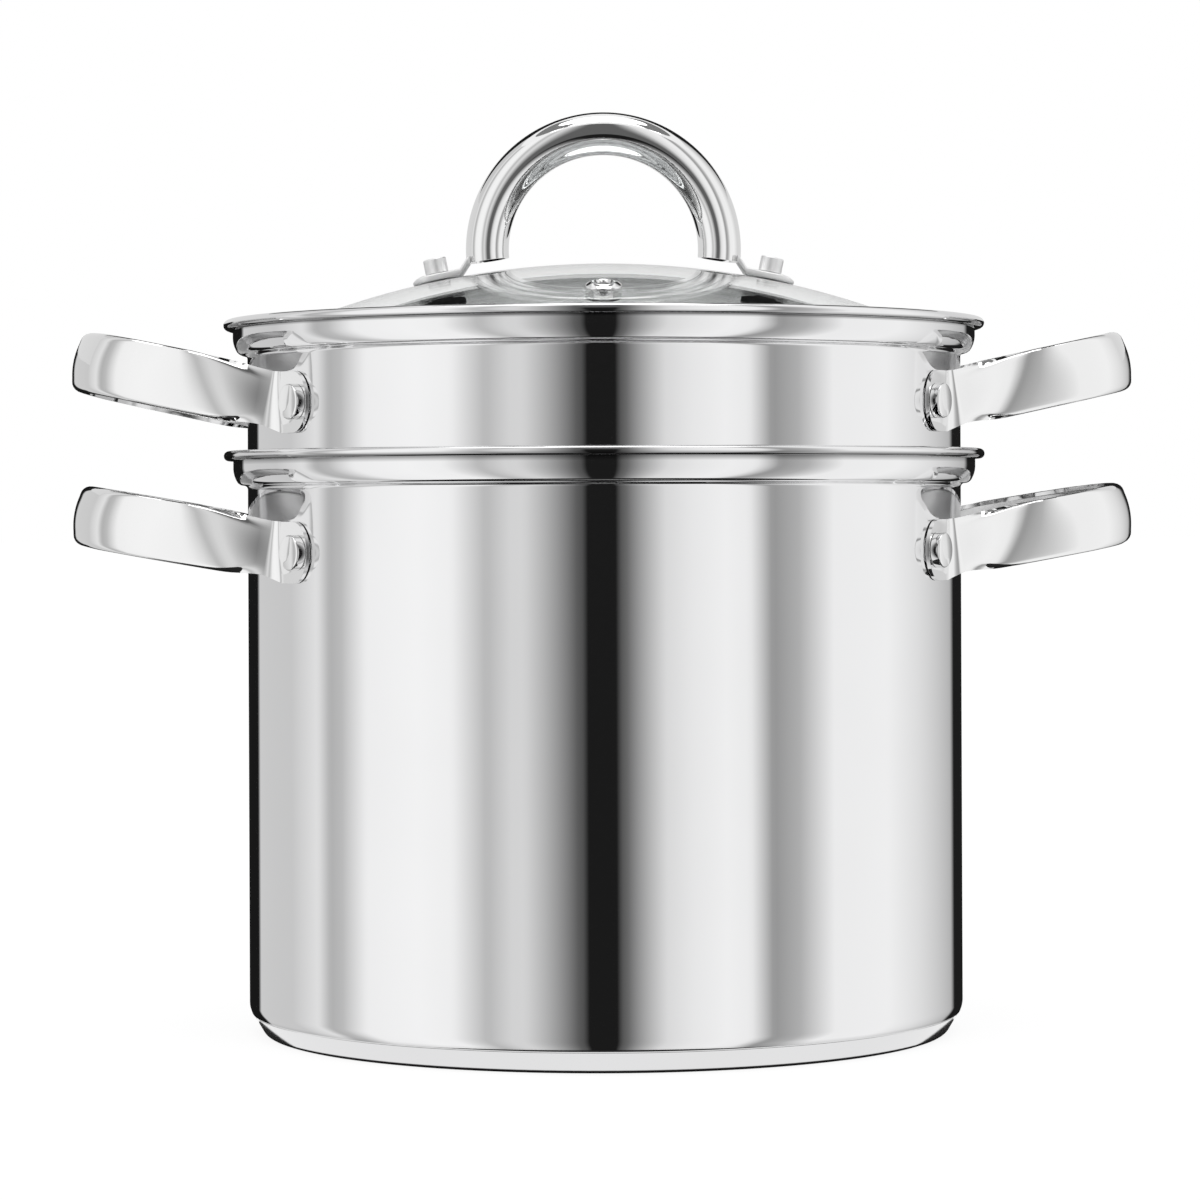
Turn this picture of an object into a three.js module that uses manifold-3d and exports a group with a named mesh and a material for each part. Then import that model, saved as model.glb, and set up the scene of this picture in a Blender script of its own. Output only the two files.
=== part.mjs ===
// Pasta pot with a lift-out strainer and a glass lid.
// Millimetres, +Z up. The base rests on z = 0 and the side handles point along X.

import * as THREE from 'three';
import { mergeVertices } from 'three/addons/utils/BufferGeometryUtils.js';
import Module from 'manifold-3d';

const wasm = await Module();
wasm.setup();

const { degToRad } = THREE.MathUtils;
const quarter = Math.PI / 2;

// Fineness of the turned and bent pieces
const wallSides = 40;
const coreSides = 20;
const fittingSides = 8;
const holeSides = 6;
const bendSteps = 2;
const rollSteps = 3;
const edgeSteps = 1;
const domeSteps = 4;
const weldDistance = 1e-4;

// Clearances
const seatGap = 0.3;
const layerGap = 0.05;
const shankGap = 0.3;
const domeGap = 0.6;
const lidSideGap = 0.7;
const lidSeatGap = 0.6;

// Pot and strainer sheet
const gauge = 0.8;
const innerRadius = 110;
const wallRadius = innerRadius + gauge / 2;

// Collar and rolled lip, the same on the pot and the strainer
const collarStep = 4.5;
const collarDepth = 11.9;
const shoulderFillet = 1.7;
const shoulderHeight = 5.2;
const lipReach = 3.3;
const lipThickness = 3;
const lipFlare = 1.3;
const rollStart = degToRad(-120);
const potLipTop = 180.2;
const strainerRise = 40.4;

// Layered base
const capGauge = 0.5;
const capInset = 5.9;
const capEdgeRadius = 2.2;
const capLean = degToRad(28);
const seamAngle = degToRad(50);
const coreThickness = 5;
const coreInset = 7.4;
const coreChamfer = 1;
const heelRadius = 5.1;

// Strainer basket
const stepRadius = 2.2;
const basketFloor = 30;
const basketTaper = 9.4;
const basketCornerRadius = 10;
const holeRadius = 2.6;
const wallHoleRows = 3;
const wallHoleBottom = 54;
const wallHolePitch = 30;
const floorHoleRings = 2;
const floorHolePitch = 34;
const floorHolesPerRing = 5;

// Side handles, pressed straps with turned-in edges
const rivetAngle = degToRad(31.5);
const potRivetDrop = 30.9;
const strainerRivetDrop = 26.5;
const spacerLength = 1.2;
const spacerRadius = 4.2;
const strapGauge = 2.1;
const strapDepth = 5;
const strapHalfHeight = 9.2;
const neckHalfHeight = 8.2;
const strapEdgeRadius = 3.4;
const footEdgeRadius = 0.6;
const strapLip = 2.2;
const footTip = 5.8;
const footReach = 8.5;
const footBend = 5;
const legStep = 1.4;
const handleLength = 53;
const handleCorner = 17;
const handleBow = 1;
const potHandleRise = 11.3;
const strainerHandleRise = 13.6;
const footTipSteps = 3;
const cornerSteps = 3;

// Rivets of the side handles
const shankRadius = 2.5;
const rivetHeadRadius = 5.1;
const rivetHeadHeight = 3.2;
const rivetChamfer = 0.7;
const rivetTailRadius = 4.6;
const rivetTailHeight = 1.3;

// Lid glass and rim band
const glassThickness = 4;
const domeRise = 21.8;
const glassBlend = 17;
const glassFlat = 5.7;
const bandGauge = 0.6;
const bandCorner = 1.2;
const bandLowerLip = 6;
const bandUpperLip = 5;

// Lid handle, a bent tube with a flattened foot at each end
const lidTurn = degToRad(-4);
const archRadius = 36.2;
const archLift = 4.7;
const tubeRadius = 6.7;
const tubeGauge = 1.2;
const tubeSides = 10;
const archSteps = 12;
const archOverrun = degToRad(14);
const legLift = 2;
const footStandoff = 15.1;
const footThickness = 2.2;
const footHalfWidth = 6;
const footOuter = 8;
const footTaper = 4;
const footInner = 7.4;
const footInnerTop = 11.2;
const footSideSteps = 2;
const footPlanSteps = 5;
const domeCutSides = 96;
const domeCutRings = 64;

// Lid fasteners and steam vent
const nutRadius = 3.6;
const nutHeight = 4.6;
const nutBore = 3.2;
const screwRadius = 2;
const screwHeadRadius = 4.6;
const screwHeadHeight = 2.2;
const gasketRadius = 7.2;
const gasketThickness = 1.6;
const sleeveRadius = 3.4;
const ventInset = 37;
const ventFlange = 5.4;
const ventCrown = 1.9;
const ventRim = 0.6;
const ventBore = 1.9;
const ventBody = 3.2;
const ventTail = 0.8;

// Sizes that follow from the ones above
const collarRadius = wallRadius + collarStep;
const lipTipRadius = collarRadius + lipReach;
const strainerLipTop = potLipTop + strainerRise;
const potRivetHeight = potLipTop - potRivetDrop;
const strainerRivetHeight = strainerLipTop - strainerRivetDrop;
const floorUnder = capGauge + coreThickness + 2 * layerGap;
const heelCentre = new THREE.Vector2(wallRadius - heelRadius, floorUnder + gauge / 2 + heelRadius);
const flatRatio = Math.cos(Math.PI / wallSides);
const wallFace = (innerRadius + gauge) * flatRatio;
const wallInside = innerRadius * flatRatio;
const spacerStart = wallFace + seatGap;
const footBack = spacerStart + spacerLength + seatGap;
const footFront = footBack + strapGauge;
const rivetHeadStart = footFront + seatGap;
const rivetHeadEnd = rivetHeadStart + rivetHeadHeight;
const potShoulder = potLipTop - collarDepth;
const seatReach = shoulderFillet + stepRadius + gauge + seatGap;
const stepCentre = potShoulder + Math.sqrt(seatReach ** 2 - (shoulderFillet + stepRadius) ** 2);
const basketTopRadius = wallRadius - 2 * stepRadius;
const basketBottomRadius = wallRadius - basketTaper - gauge / 2;
const bandRadius = collarRadius - gauge / 2 - lidSideGap - bandGauge / 2;
const bandBottom = strainerLipTop - collarDepth + shoulderFillet + gauge / 2 + lidSeatGap;
const glassEdgeRadius = bandRadius - bandCorner - seatGap;
const glassRim = bandBottom + bandGauge + seatGap + glassThickness / 2;
const blendStart = glassEdgeRadius - glassFlat;
const blendReach = (blendStart ** 2 + domeRise ** 2) / (2 * domeRise);
const domeMiddle = blendReach - glassBlend;
const domeCentre = glassRim + domeRise - domeMiddle;
const domeRadius = domeMiddle + glassThickness / 2;
const glassUnder = domeRadius - glassThickness;
const archCentre = domeCentre + domeRadius + archLift;
const footRadius = archRadius + footStandoff;
const ventRadius = glassEdgeRadius - ventInset;
const tabBottom = domeRadius + seatGap;
const tabTop = tabBottom + footThickness;
const nutStart = tabTop + seatGap;
const gasketTop = glassUnder - domeGap;
const gasketBottom = gasketTop - gasketThickness;
const screwHeadTop = gasketBottom - seatGap;

// Materials, one for each mesh
function polishedSteel() {
  return new THREE.MeshStandardMaterial({ color: 0xd6d7d8, roughness: 0.18, metalness: 1 });
}

function satinSteel() {
  return new THREE.MeshStandardMaterial({ color: 0xcfd0d1, roughness: 0.35, metalness: 1 });
}

function aluminium() {
  return new THREE.MeshStandardMaterial({ color: 0xb9bcbf, roughness: 0.5, metalness: 1 });
}

function clearGlass() {
  return new THREE.MeshStandardMaterial({ color: 0xdce3e0, roughness: 0.05, metalness: 0 });
}

function blackSilicone() {
  return new THREE.MeshStandardMaterial({ color: 0x1d1d1f, roughness: 0.7, metalness: 0 });
}

// Geometry helpers
function point(radius, height) {
  return new THREE.Vector2(radius, height);
}

function arc(centre, radii, from, to, steps) {
  const curve = new THREE.EllipseCurve(centre.x, centre.y, radii.x, radii.y, from, to, to < from);
  return curve.getPoints(steps);
}

function roundArc(centre, radius, from, to, steps) {
  return arc(centre, point(radius, radius), from, to, steps);
}

function turned(outline, sides) {
  return new THREE.LatheGeometry(outline, sides).rotateX(quarter);
}

function rod(radius, from, to, sides) {
  return turned([point(0, from), point(radius, from), point(radius, to), point(0, to)], sides);
}

// The outline of sheet metal of one gauge, half of it on each side of its middle line
function sheetOutline(middle, thickness) {
  const outside = [];
  const inside = [];
  middle.forEach((here, i) => {
    const before = middle[Math.max(i - 1, 0)];
    const after = middle[Math.min(i + 1, middle.length - 1)];
    const arriving = here.clone().sub(before).normalize();
    const leaving = after.clone().sub(here).normalize();
    const along = arriving.clone().add(leaving).normalize();
    const mitre = Math.max(along.dot(arriving), along.dot(leaving));
    const offset = point(along.y, -along.x).multiplyScalar(thickness / 2 / mitre);
    outside.push(here.clone().add(offset));
    inside.push(here.clone().sub(offset));
  });
  return [...outside, ...inside.reverse()];
}

function closed(outline) {
  return [...outline, outline[0].clone()];
}

function solidOf(geometry) {
  const bare = geometry.clone();
  bare.deleteAttribute('normal');
  bare.deleteAttribute('uv');
  const welded = mergeVertices(bare, weldDistance);
  const corners = welded.index.array;
  const kept = [];
  for (let i = 0; i < corners.length; i += 3) {
    const [a, b, c] = corners.slice(i, i + 3);
    if (a !== b && b !== c && c !== a) kept.push(a, b, c);
  }
  const vertProperties = new Float32Array(welded.attributes.position.array);
  const triVerts = new Uint32Array(kept);
  return new wasm.Manifold(new wasm.Mesh({ numProp: 3, vertProperties, triVerts }));
}

function geometryOf(solid) {
  const mesh = solid.getMesh();
  const geometry = new THREE.BufferGeometry();
  geometry.setAttribute('position', new THREE.BufferAttribute(mesh.vertProperties, 3));
  geometry.setIndex(new THREE.BufferAttribute(mesh.triVerts, 1));
  geometry.computeVertexNormals();
  return geometry;
}

function drilled(geometry, cutters) {
  const cut = cutters.reduce((solid, cutter) => solid.subtract(solidOf(cutter)), solidOf(geometry));
  return geometryOf(cut);
}

function namedMesh(name, geometry, material) {
  const mesh = new THREE.Mesh(geometry, material);
  mesh.name = name;
  return mesh;
}

// Where the four rivets of a pair of handles go through the wall
const rivetPlaces = [
  { name: 'right_front', angle: -rivetAngle },
  { name: 'right_rear', angle: rivetAngle },
  { name: 'left_front', angle: Math.PI + rivetAngle },
  { name: 'left_rear', angle: Math.PI - rivetAngle },
];

function wallHole(radius, angle, height, sides) {
  const from = basketBottomRadius - basketCornerRadius;
  return rod(radius, from, rivetHeadEnd, sides).rotateY(quarter).rotateZ(angle).translate(0, 0, height);
}

function rivetHoles(height) {
  return rivetPlaces.map((place) => wallHole(shankRadius + shankGap, place.angle, height, fittingSides));
}

// The middle line of the shoulder and the collar, up to the lip
function collarLine(lipTop) {
  const footZ = lipTop - collarDepth;
  const filletCentre = point(wallRadius + shoulderFillet, footZ);
  const shoulderCentre = point(filletCentre.x, footZ + shoulderFillet + shoulderHeight);
  const shoulderRadii = point(collarRadius - filletCentre.x, shoulderHeight);
  return [
    ...roundArc(filletCentre, shoulderFillet, Math.PI, quarter, bendSteps),
    ...arc(shoulderCentre, shoulderRadii, -quarter, 0, bendSteps).slice(1),
    point(collarRadius, lipTop - lipThickness),
  ];
}

// Sheet that ends in a lip, flared out of the collar and rolled shut
function lippedOutline(middle, lipTop) {
  const sheet = sheetOutline(middle, gauge);
  const half = sheet.length / 2;
  const rollRadius = lipThickness / 2;
  const rollCentre = point(lipTipRadius - rollRadius, lipTop - rollRadius);
  const flareRadius = lipFlare + gauge / 2;
  const flareCentre = point(collarRadius + lipFlare, lipTop - flareRadius);
  return [
    ...sheet.slice(0, half),
    ...roundArc(rollCentre, rollRadius, rollStart, quarter, rollSteps),
    ...roundArc(flareCentre, flareRadius, quarter, Math.PI, bendSteps),
    ...sheet.slice(half),
  ];
}

// Pot with its layered base
function potBody() {
  const middle = [
    point(0, floorUnder + gauge / 2),
    ...roundArc(heelCentre, heelRadius, -quarter, 0, bendSteps),
    ...collarLine(potLipTop),
  ];
  return drilled(turned(lippedOutline(middle, potLipTop), wallSides), rivetHoles(potRivetHeight));
}

function baseCap() {
  const edgeCentre = point(wallRadius - capInset, capGauge / 2 + capEdgeRadius);
  const seamRadius = heelRadius + gauge / 2 + seatGap + capGauge / 2;
  const seam = point(Math.cos(seamAngle), -Math.sin(seamAngle)).multiplyScalar(seamRadius).add(heelCentre);
  const middle = [
    point(0, capGauge / 2),
    ...roundArc(edgeCentre, capEdgeRadius, -quarter, -capLean, edgeSteps),
    seam,
  ];
  return turned(sheetOutline(middle, capGauge), wallSides);
}

function baseCore() {
  const bottom = capGauge + layerGap;
  const coreRadius = wallRadius - coreInset;
  const outline = [
    point(0, bottom),
    point(coreRadius - coreChamfer, bottom),
    point(coreRadius, bottom + coreChamfer),
    point(coreRadius, bottom + coreThickness),
    point(0, bottom + coreThickness),
  ];
  return turned(outline, coreSides);
}

// Strainer with rows of holes round the basket and rings of holes in its floor
function basketHoles() {
  const facet = 2 * Math.PI / wallSides;
  const holes = [];
  for (let row = 0; row < wallHoleRows; row += 1) {
    const height = wallHoleBottom + row * wallHolePitch;
    for (let side = row % 2; side < wallSides; side += 2) {
      holes.push(wallHole(holeRadius, (side + 0.5) * facet, height, holeSides));
    }
  }
  const floorTop = basketFloor + basketCornerRadius;
  holes.push(rod(holeRadius, 0, floorTop, holeSides));
  for (let ring = 1; ring <= floorHoleRings; ring += 1) {
    const count = ring * floorHolesPerRing;
    for (let i = 0; i < count; i += 1) {
      const hole = rod(holeRadius, 0, floorTop, holeSides).translate(ring * floorHolePitch, 0, 0);
      holes.push(hole.rotateZ(i * 2 * Math.PI / count + facet / 2));
    }
  }
  return holes;
}

function strainerBody() {
  const cornerHeight = basketFloor + gauge / 2 + basketCornerRadius;
  const cornerCentre = point(basketBottomRadius - basketCornerRadius, cornerHeight);
  const outerStep = point(basketTopRadius + stepRadius, stepCentre);
  const innerStep = point(outerStep.x, stepCentre - 2 * stepRadius);
  const middle = [
    point(0, basketFloor + gauge / 2),
    ...roundArc(cornerCentre, basketCornerRadius, -quarter, 0, bendSteps),
    ...roundArc(innerStep, stepRadius, Math.PI, quarter, bendSteps),
    ...roundArc(outerStep, stepRadius, -quarter, 0, bendSteps).slice(1),
    ...collarLine(strainerLipTop),
  ];
  const shell = turned(lippedOutline(middle, strainerLipTop), wallSides);
  return drilled(shell, [...basketHoles(), ...rivetHoles(strainerRivetHeight)]);
}

// Half of a side handle, from the tip of its front foot to the middle of the bar
function handleStations(rise) {
  const rivet = point(Math.cos(rivetAngle), -Math.sin(rivetAngle)).multiplyScalar(footBack + strapGauge / 2);
  const footHeading = quarter - rivetAngle;
  const along = point(Math.cos(footHeading), Math.sin(footHeading));
  const bendStart = rivet.clone().addScaledVector(along, footReach);
  const bendCentre = bendStart.clone().add(point(along.y, -along.x).multiplyScalar(footBend));
  const legY = bendCentre.y + footBend;
  const barX = wallRadius + handleLength - strapDepth / 2;
  const cornerStart = barX - handleCorner - handleBow;
  const lean = Math.atan((rise - legStep) / (barX - bendCentre.x));
  const stations = [];
  for (let i = 1; i <= footTipSteps; i += 1) {
    const angle = quarter * i / footTipSteps;
    stations.push({
      place: rivet.clone().addScaledVector(along, -footTip * Math.cos(angle)),
      heading: footHeading,
      halfHeight: strapHalfHeight * Math.sin(angle),
      form: 0,
    });
  }
  for (let i = 0; i <= bendSteps; i += 1) {
    const turn = i / bendSteps;
    const heading = footHeading * (1 - turn);
    const side = point(-Math.sin(heading), Math.cos(heading));
    const place = bendCentre.clone().addScaledVector(side, footBend);
    const halfHeight = THREE.MathUtils.lerp(strapHalfHeight, neckHalfHeight, turn);
    stations.push({ place, heading, halfHeight, turn, form: 0 });
  }
  stations.push({ place: point((bendCentre.x + cornerStart) / 2, legY), heading: 0, form: 1 });
  for (let i = 0; i <= cornerSteps; i += 1) {
    const heading = quarter * i / cornerSteps;
    const cornerPlace = point(Math.sin(heading), 1 - Math.cos(heading)).multiplyScalar(handleCorner);
    stations.push({ place: cornerPlace.add(point(cornerStart, legY)), heading, form: 1 });
  }
  stations.push({ place: point(barX, 0), heading: quarter, form: 1 });
  return stations.map((station) => {
    const turn = station.turn ?? (station.halfHeight ? 0 : 1);
    const climb = Math.tan(lean) * Math.max(station.place.x - bendCentre.x, 0);
    return { halfHeight: strapHalfHeight, ...station, lean: lean * turn, lift: legStep * turn + climb };
  });
}

// The strap's cross-section at one station, a flat foot where form is 0 and an open channel where it is 1
function strapRing(station, side) {
  const { place, heading, halfHeight: half, form, lean, lift } = station;
  const depth = THREE.MathUtils.lerp(strapGauge, strapDepth, form);
  const round = Math.min(THREE.MathUtils.lerp(footEdgeRadius, strapEdgeRadius, form), half / 2);
  const groove = depth - strapGauge;
  const front = depth / 2;
  const lip = Math.min(strapLip, half / 2);
  const section = [
    [-half, -front],
    [-half, front - round],
    [-half + round, front],
    [half - round, front],
    [half, front - round],
    [half, -front],
    [half - lip, -front],
    [half - lip, -front + groove],
    [-half + lip, -front + groove],
    [-half + lip, -front],
  ];
  const outward = point(Math.sin(heading), -Math.cos(heading));
  return section.map(([up, out]) => new THREE.Vector3(
    place.x + out * outward.x * Math.cos(lean) - up * Math.sin(lean),
    side * (place.y + out * outward.y),
    lift + out * outward.x * Math.sin(lean) + up * Math.cos(lean),
  ));
}

function loft(rings) {
  const count = rings[0].length;
  const index = [];
  for (let row = 0; row + 1 < rings.length; row += 1) {
    for (let i = 0; i < count; i += 1) {
      const a = row * count + i;
      const b = row * count + (i + 1) % count;
      index.push(a, a + count, b, b, a + count, b + count);
    }
  }
  const last = (rings.length - 1) * count;
  for (let i = 1; i + 1 < count; i += 1) {
    index.push(0, i, i + 1, last, last + i + 1, last + i);
  }
  const geometry = new THREE.BufferGeometry().setFromPoints(rings.flat());
  return geometry.setIndex(index);
}

function sideHandle(rise) {
  const front = handleStations(rise);
  const rear = front.slice(0, -1).reverse();
  const rings = [...front.map((s) => strapRing(s, 1)), ...rear.map((s) => strapRing(s, -1))];
  const holes = [-rivetAngle, rivetAngle].map((angle) => wallHole(shankRadius + shankGap, angle, 0, fittingSides));
  return drilled(loft(rings), holes);
}

function rivet() {
  const tail = wallInside - seatGap;
  const outline = [
    point(0, tail - rivetTailHeight),
    point(rivetTailRadius - rivetTailHeight, tail - rivetTailHeight),
    point(rivetTailRadius, tail),
    point(shankRadius, tail),
    point(shankRadius, rivetHeadStart),
    point(rivetHeadRadius, rivetHeadStart),
    point(rivetHeadRadius, rivetHeadEnd - rivetChamfer),
    point(rivetHeadRadius - rivetChamfer, rivetHeadEnd),
    point(0, rivetHeadEnd),
  ];
  return turned(outline, fittingSides);
}

function spacer() {
  const bore = shankRadius + shankGap;
  const end = spacerStart + spacerLength;
  const outline = [
    point(bore, spacerStart),
    point(spacerRadius, spacerStart),
    point(spacerRadius, end),
    point(bore, end),
  ];
  return turned(closed(outline), fittingSides);
}

// A pair of side handles with their rivets and spacers
function handlePair(owner, height, rise) {
  const pair = new THREE.Group();
  pair.position.z = height;
  for (const [side, turn] of [['right', 0], ['left', Math.PI]]) {
    const handle = namedMesh(`${owner}_handle_${side}`, sideHandle(rise), polishedSteel());
    handle.rotation.z = turn;
    pair.add(handle);
  }
  for (const place of rivetPlaces) {
    const spot = new THREE.Group();
    spot.rotation.set(0, quarter, place.angle, 'ZYX');
    spot.add(namedMesh(`${owner}_rivet_${place.name}`, rivet(), polishedSteel()));
    spot.add(namedMesh(`${owner}_spacer_${place.name}`, spacer(), satinSteel()));
    pair.add(spot);
  }
  return pair;
}

// Polar angles of the lid fittings about the centre of the dome
const footAngle = Math.asin(footRadius / domeRadius);
const ventAngle = Math.asin(ventRadius / domeRadius);
const lidFeet = [
  { name: 'right', turn: lidTurn },
  { name: 'left', turn: lidTurn + Math.PI },
];

function onDome(geometry, tilt, turn) {
  return geometry.rotateY(tilt).rotateZ(turn).translate(0, 0, domeCentre);
}

function lidGlass() {
  const slope = Math.asin(blendStart / blendReach);
  const blendCentre = point(blendStart, glassRim + glassBlend);
  const middle = [
    ...roundArc(point(0, domeCentre), domeMiddle, quarter, quarter - slope, domeSteps),
    ...roundArc(blendCentre, glassBlend, -quarter - slope, -quarter, edgeSteps).slice(1),
    point(glassEdgeRadius, glassRim),
  ];
  const outline = sheetOutline(middle, glassThickness);
  outline[0].x = 0;
  outline[outline.length - 1].x = 0;
  const from = glassUnder - glassThickness;
  const to = domeRadius + glassThickness;
  const holes = lidFeet.map(({ turn }) => {
    return onDome(rod(sleeveRadius + shankGap, from, to, fittingSides), footAngle, turn);
  });
  holes.push(onDome(rod(ventBody + shankGap, from, to, fittingSides), ventAngle, lidTurn - quarter));
  return drilled(turned(outline, wallSides), holes);
}

function lidRimBand() {
  const low = bandBottom + bandGauge / 2;
  const high = glassRim + glassThickness / 2 + seatGap + bandGauge / 2;
  const middle = [
    point(bandRadius - bandLowerLip, low),
    point(bandRadius - bandCorner, low),
    point(bandRadius, low + bandCorner),
    point(bandRadius, high),
    point(bandRadius - bandUpperLip, high),
  ];
  return turned(closed(sheetOutline(middle, bandGauge)), wallSides);
}

// The arch runs in the XZ plane, a little past its own diameter at both ends
class ArchCurve extends THREE.Curve {
  getPoint(t, target = new THREE.Vector3()) {
    const angle = -archOverrun + t * (Math.PI + 2 * archOverrun);
    return target.set(archRadius * Math.cos(angle), 0, archCentre + archRadius * Math.sin(angle));
  }
}

function circleShape(radius, sides) {
  return new THREE.Shape(new THREE.Path().absarc(0, 0, radius, 0, 2 * Math.PI).getSpacedPoints(sides).slice(1));
}

function archTube(radius) {
  const options = { steps: archSteps, bevelEnabled: false, extrudePath: new ArchCurve() };
  return solidOf(new THREE.ExtrudeGeometry(circleShape(radius, tubeSides), options));
}

// One flattened foot, lying on the glass along X from its screw
function lidFoot() {
  const side = new THREE.Shape();
  side.moveTo(-footInner, 0);
  side.lineTo(footOuter, 0);
  side.quadraticCurveTo(footOuter - footTaper / 4, footThickness, footOuter - footTaper, footThickness);
  side.lineTo(-footInnerTop, footThickness);
  const plan = new THREE.Shape();
  plan.moveTo(-footInnerTop, -footHalfWidth);
  plan.lineTo(footOuter - footHalfWidth, -footHalfWidth);
  plan.absarc(footOuter - footHalfWidth, 0, footHalfWidth, -quarter, quarter);
  plan.lineTo(-footInnerTop, footHalfWidth);
  const width = 2 * footHalfWidth;
  const sideOptions = { depth: width, bevelEnabled: false, curveSegments: footSideSteps };
  const planOptions = { depth: footThickness, bevelEnabled: false, curveSegments: footPlanSteps };
  const sideBody = new THREE.ExtrudeGeometry(side, sideOptions).rotateX(quarter).translate(0, footHalfWidth, 0);
  const planBody = new THREE.ExtrudeGeometry(plan, planOptions);
  const bore = rod(screwRadius + shankGap, -footThickness, 2 * footThickness, fittingSides);
  return geometryOf(solidOf(sideBody).intersect(solidOf(planBody)).subtract(solidOf(bore)));
}

function lidHandle() {
  const ball = new THREE.SphereGeometry(domeRadius + legLift, domeCutSides, domeCutRings);
  const dome = solidOf(ball.rotateX(quarter).translate(0, 0, domeCentre));
  const tube = archTube(tubeRadius).subtract(archTube(tubeRadius - tubeGauge)).subtract(dome);
  const whole = [0, Math.PI].reduce((solid, turn) => {
    const foot = lidFoot().translate(0, 0, tabBottom);
    return solid.add(solidOf(onDome(foot, footAngle, turn)));
  }, tube);
  return geometryOf(whole).rotateZ(lidTurn);
}

function capNut() {
  const bore = screwRadius + shankGap;
  const top = nutStart + nutHeight;
  const outline = [
    point(0, nutStart + nutBore),
    point(bore, nutStart + nutBore),
    point(bore, nutStart),
    point(nutRadius, nutStart),
    point(nutRadius, top),
    point(0, top),
  ];
  return turned(outline, fittingSides);
}

function lidScrew() {
  const outline = [
    point(0, screwHeadTop - screwHeadHeight),
    point(screwHeadRadius - screwHeadHeight / 2, screwHeadTop - screwHeadHeight),
    point(screwHeadRadius, screwHeadTop - screwHeadHeight / 2),
    point(screwHeadRadius, screwHeadTop),
    point(screwRadius, screwHeadTop),
    point(screwRadius, nutStart + nutBore - seatGap),
    point(0, nutStart + nutBore - seatGap),
  ];
  return turned(outline, fittingSides);
}

function lidGasket() {
  const bore = screwRadius + shankGap;
  const outline = [
    point(bore, gasketBottom),
    point(gasketRadius, gasketBottom),
    point(gasketRadius, gasketTop),
    point(sleeveRadius, gasketTop),
    point(sleeveRadius, domeRadius),
    point(bore, domeRadius),
  ];
  return turned(closed(outline), fittingSides);
}

function ventGrommet() {
  const seat = domeRadius + seatGap;
  const outline = [
    point(ventBore, gasketTop - ventTail),
    point(ventFlange, gasketTop - ventTail),
    point(ventFlange, gasketTop),
    point(ventBody, gasketTop),
    point(ventBody, seat),
    point(ventFlange, seat),
    point(ventFlange, seat + ventRim),
    point((ventFlange + ventBore) / 2, seat + ventCrown),
    point(ventBore, seat + ventCrown),
  ];
  return turned(closed(outline), fittingSides);
}

// A group at the centre of the dome, tilted so that its Z axis leaves the glass at right angles
function domeGroup(tilt, turn) {
  const group = new THREE.Group();
  group.position.z = domeCentre;
  group.rotation.set(0, tilt, turn, 'ZYX');
  return group;
}

function lid() {
  const group = new THREE.Group();
  group.add(namedMesh('lid_glass', lidGlass(), clearGlass()));
  group.add(namedMesh('lid_rim_band', lidRimBand(), polishedSteel()));
  group.add(namedMesh('lid_handle', lidHandle(), polishedSteel()));
  for (const { name, turn } of lidFeet) {
    const spot = domeGroup(footAngle, turn);
    spot.add(namedMesh(`lid_cap_nut_${name}`, capNut(), satinSteel()));
    spot.add(namedMesh(`lid_screw_${name}`, lidScrew(), satinSteel()));
    spot.add(namedMesh(`lid_gasket_${name}`, lidGasket(), blackSilicone()));
    group.add(spot);
  }
  const vent = domeGroup(ventAngle, lidTurn - quarter);
  vent.add(namedMesh('lid_vent_grommet', ventGrommet(), polishedSteel()));
  group.add(vent);
  return group;
}

const pastaPot = new THREE.Group();
pastaPot.add(namedMesh('pot_body', potBody(), polishedSteel()));
pastaPot.add(namedMesh('pot_base_core', baseCore(), aluminium()));
pastaPot.add(namedMesh('pot_base_cap', baseCap(), satinSteel()));
pastaPot.add(handlePair('pot', potRivetHeight, potHandleRise));
pastaPot.add(namedMesh('strainer_body', strainerBody(), polishedSteel()));
pastaPot.add(handlePair('strainer', strainerRivetHeight, strainerHandleRise));
pastaPot.add(lid());

export default pastaPot;
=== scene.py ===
# %% [markdown]
# # A pasta pot with a strainer and a glass lid
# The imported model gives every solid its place, in metres, with the base on
# z = 0 and the side handles along X. Its turned solids have flat sides, which is
# enough for physics but not for polished steel, where each flat would show as a
# stripe. So every piece that shows is modelled again here with smooth turned and
# bent surfaces, in the place of the solid that it stands for.

# %% Load the frame
import math

import bmesh
import bpy
from mathutils import Matrix, Vector


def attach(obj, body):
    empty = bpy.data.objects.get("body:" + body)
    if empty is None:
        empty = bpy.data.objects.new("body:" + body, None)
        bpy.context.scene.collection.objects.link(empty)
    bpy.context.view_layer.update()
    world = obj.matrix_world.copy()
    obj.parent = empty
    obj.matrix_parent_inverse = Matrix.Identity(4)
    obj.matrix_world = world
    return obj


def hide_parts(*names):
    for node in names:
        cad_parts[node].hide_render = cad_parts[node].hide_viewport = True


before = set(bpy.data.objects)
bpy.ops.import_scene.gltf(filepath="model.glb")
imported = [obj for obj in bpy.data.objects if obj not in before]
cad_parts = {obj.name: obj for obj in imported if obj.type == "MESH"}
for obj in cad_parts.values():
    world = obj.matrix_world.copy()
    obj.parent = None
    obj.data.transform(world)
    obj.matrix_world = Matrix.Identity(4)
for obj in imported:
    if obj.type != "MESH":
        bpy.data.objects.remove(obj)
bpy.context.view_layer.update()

# %% [markdown]
# ## Shader maths
# Node trees are easier to read as formulas. `Value` wraps one socket, and each
# operator on it adds a Math node, so `0.1 + 0.02 * grain` builds the nodes that
# it says. Every other node comes from `Finish.node`, which takes the node's
# type, then its settings, and then what goes into its sockets.

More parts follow.
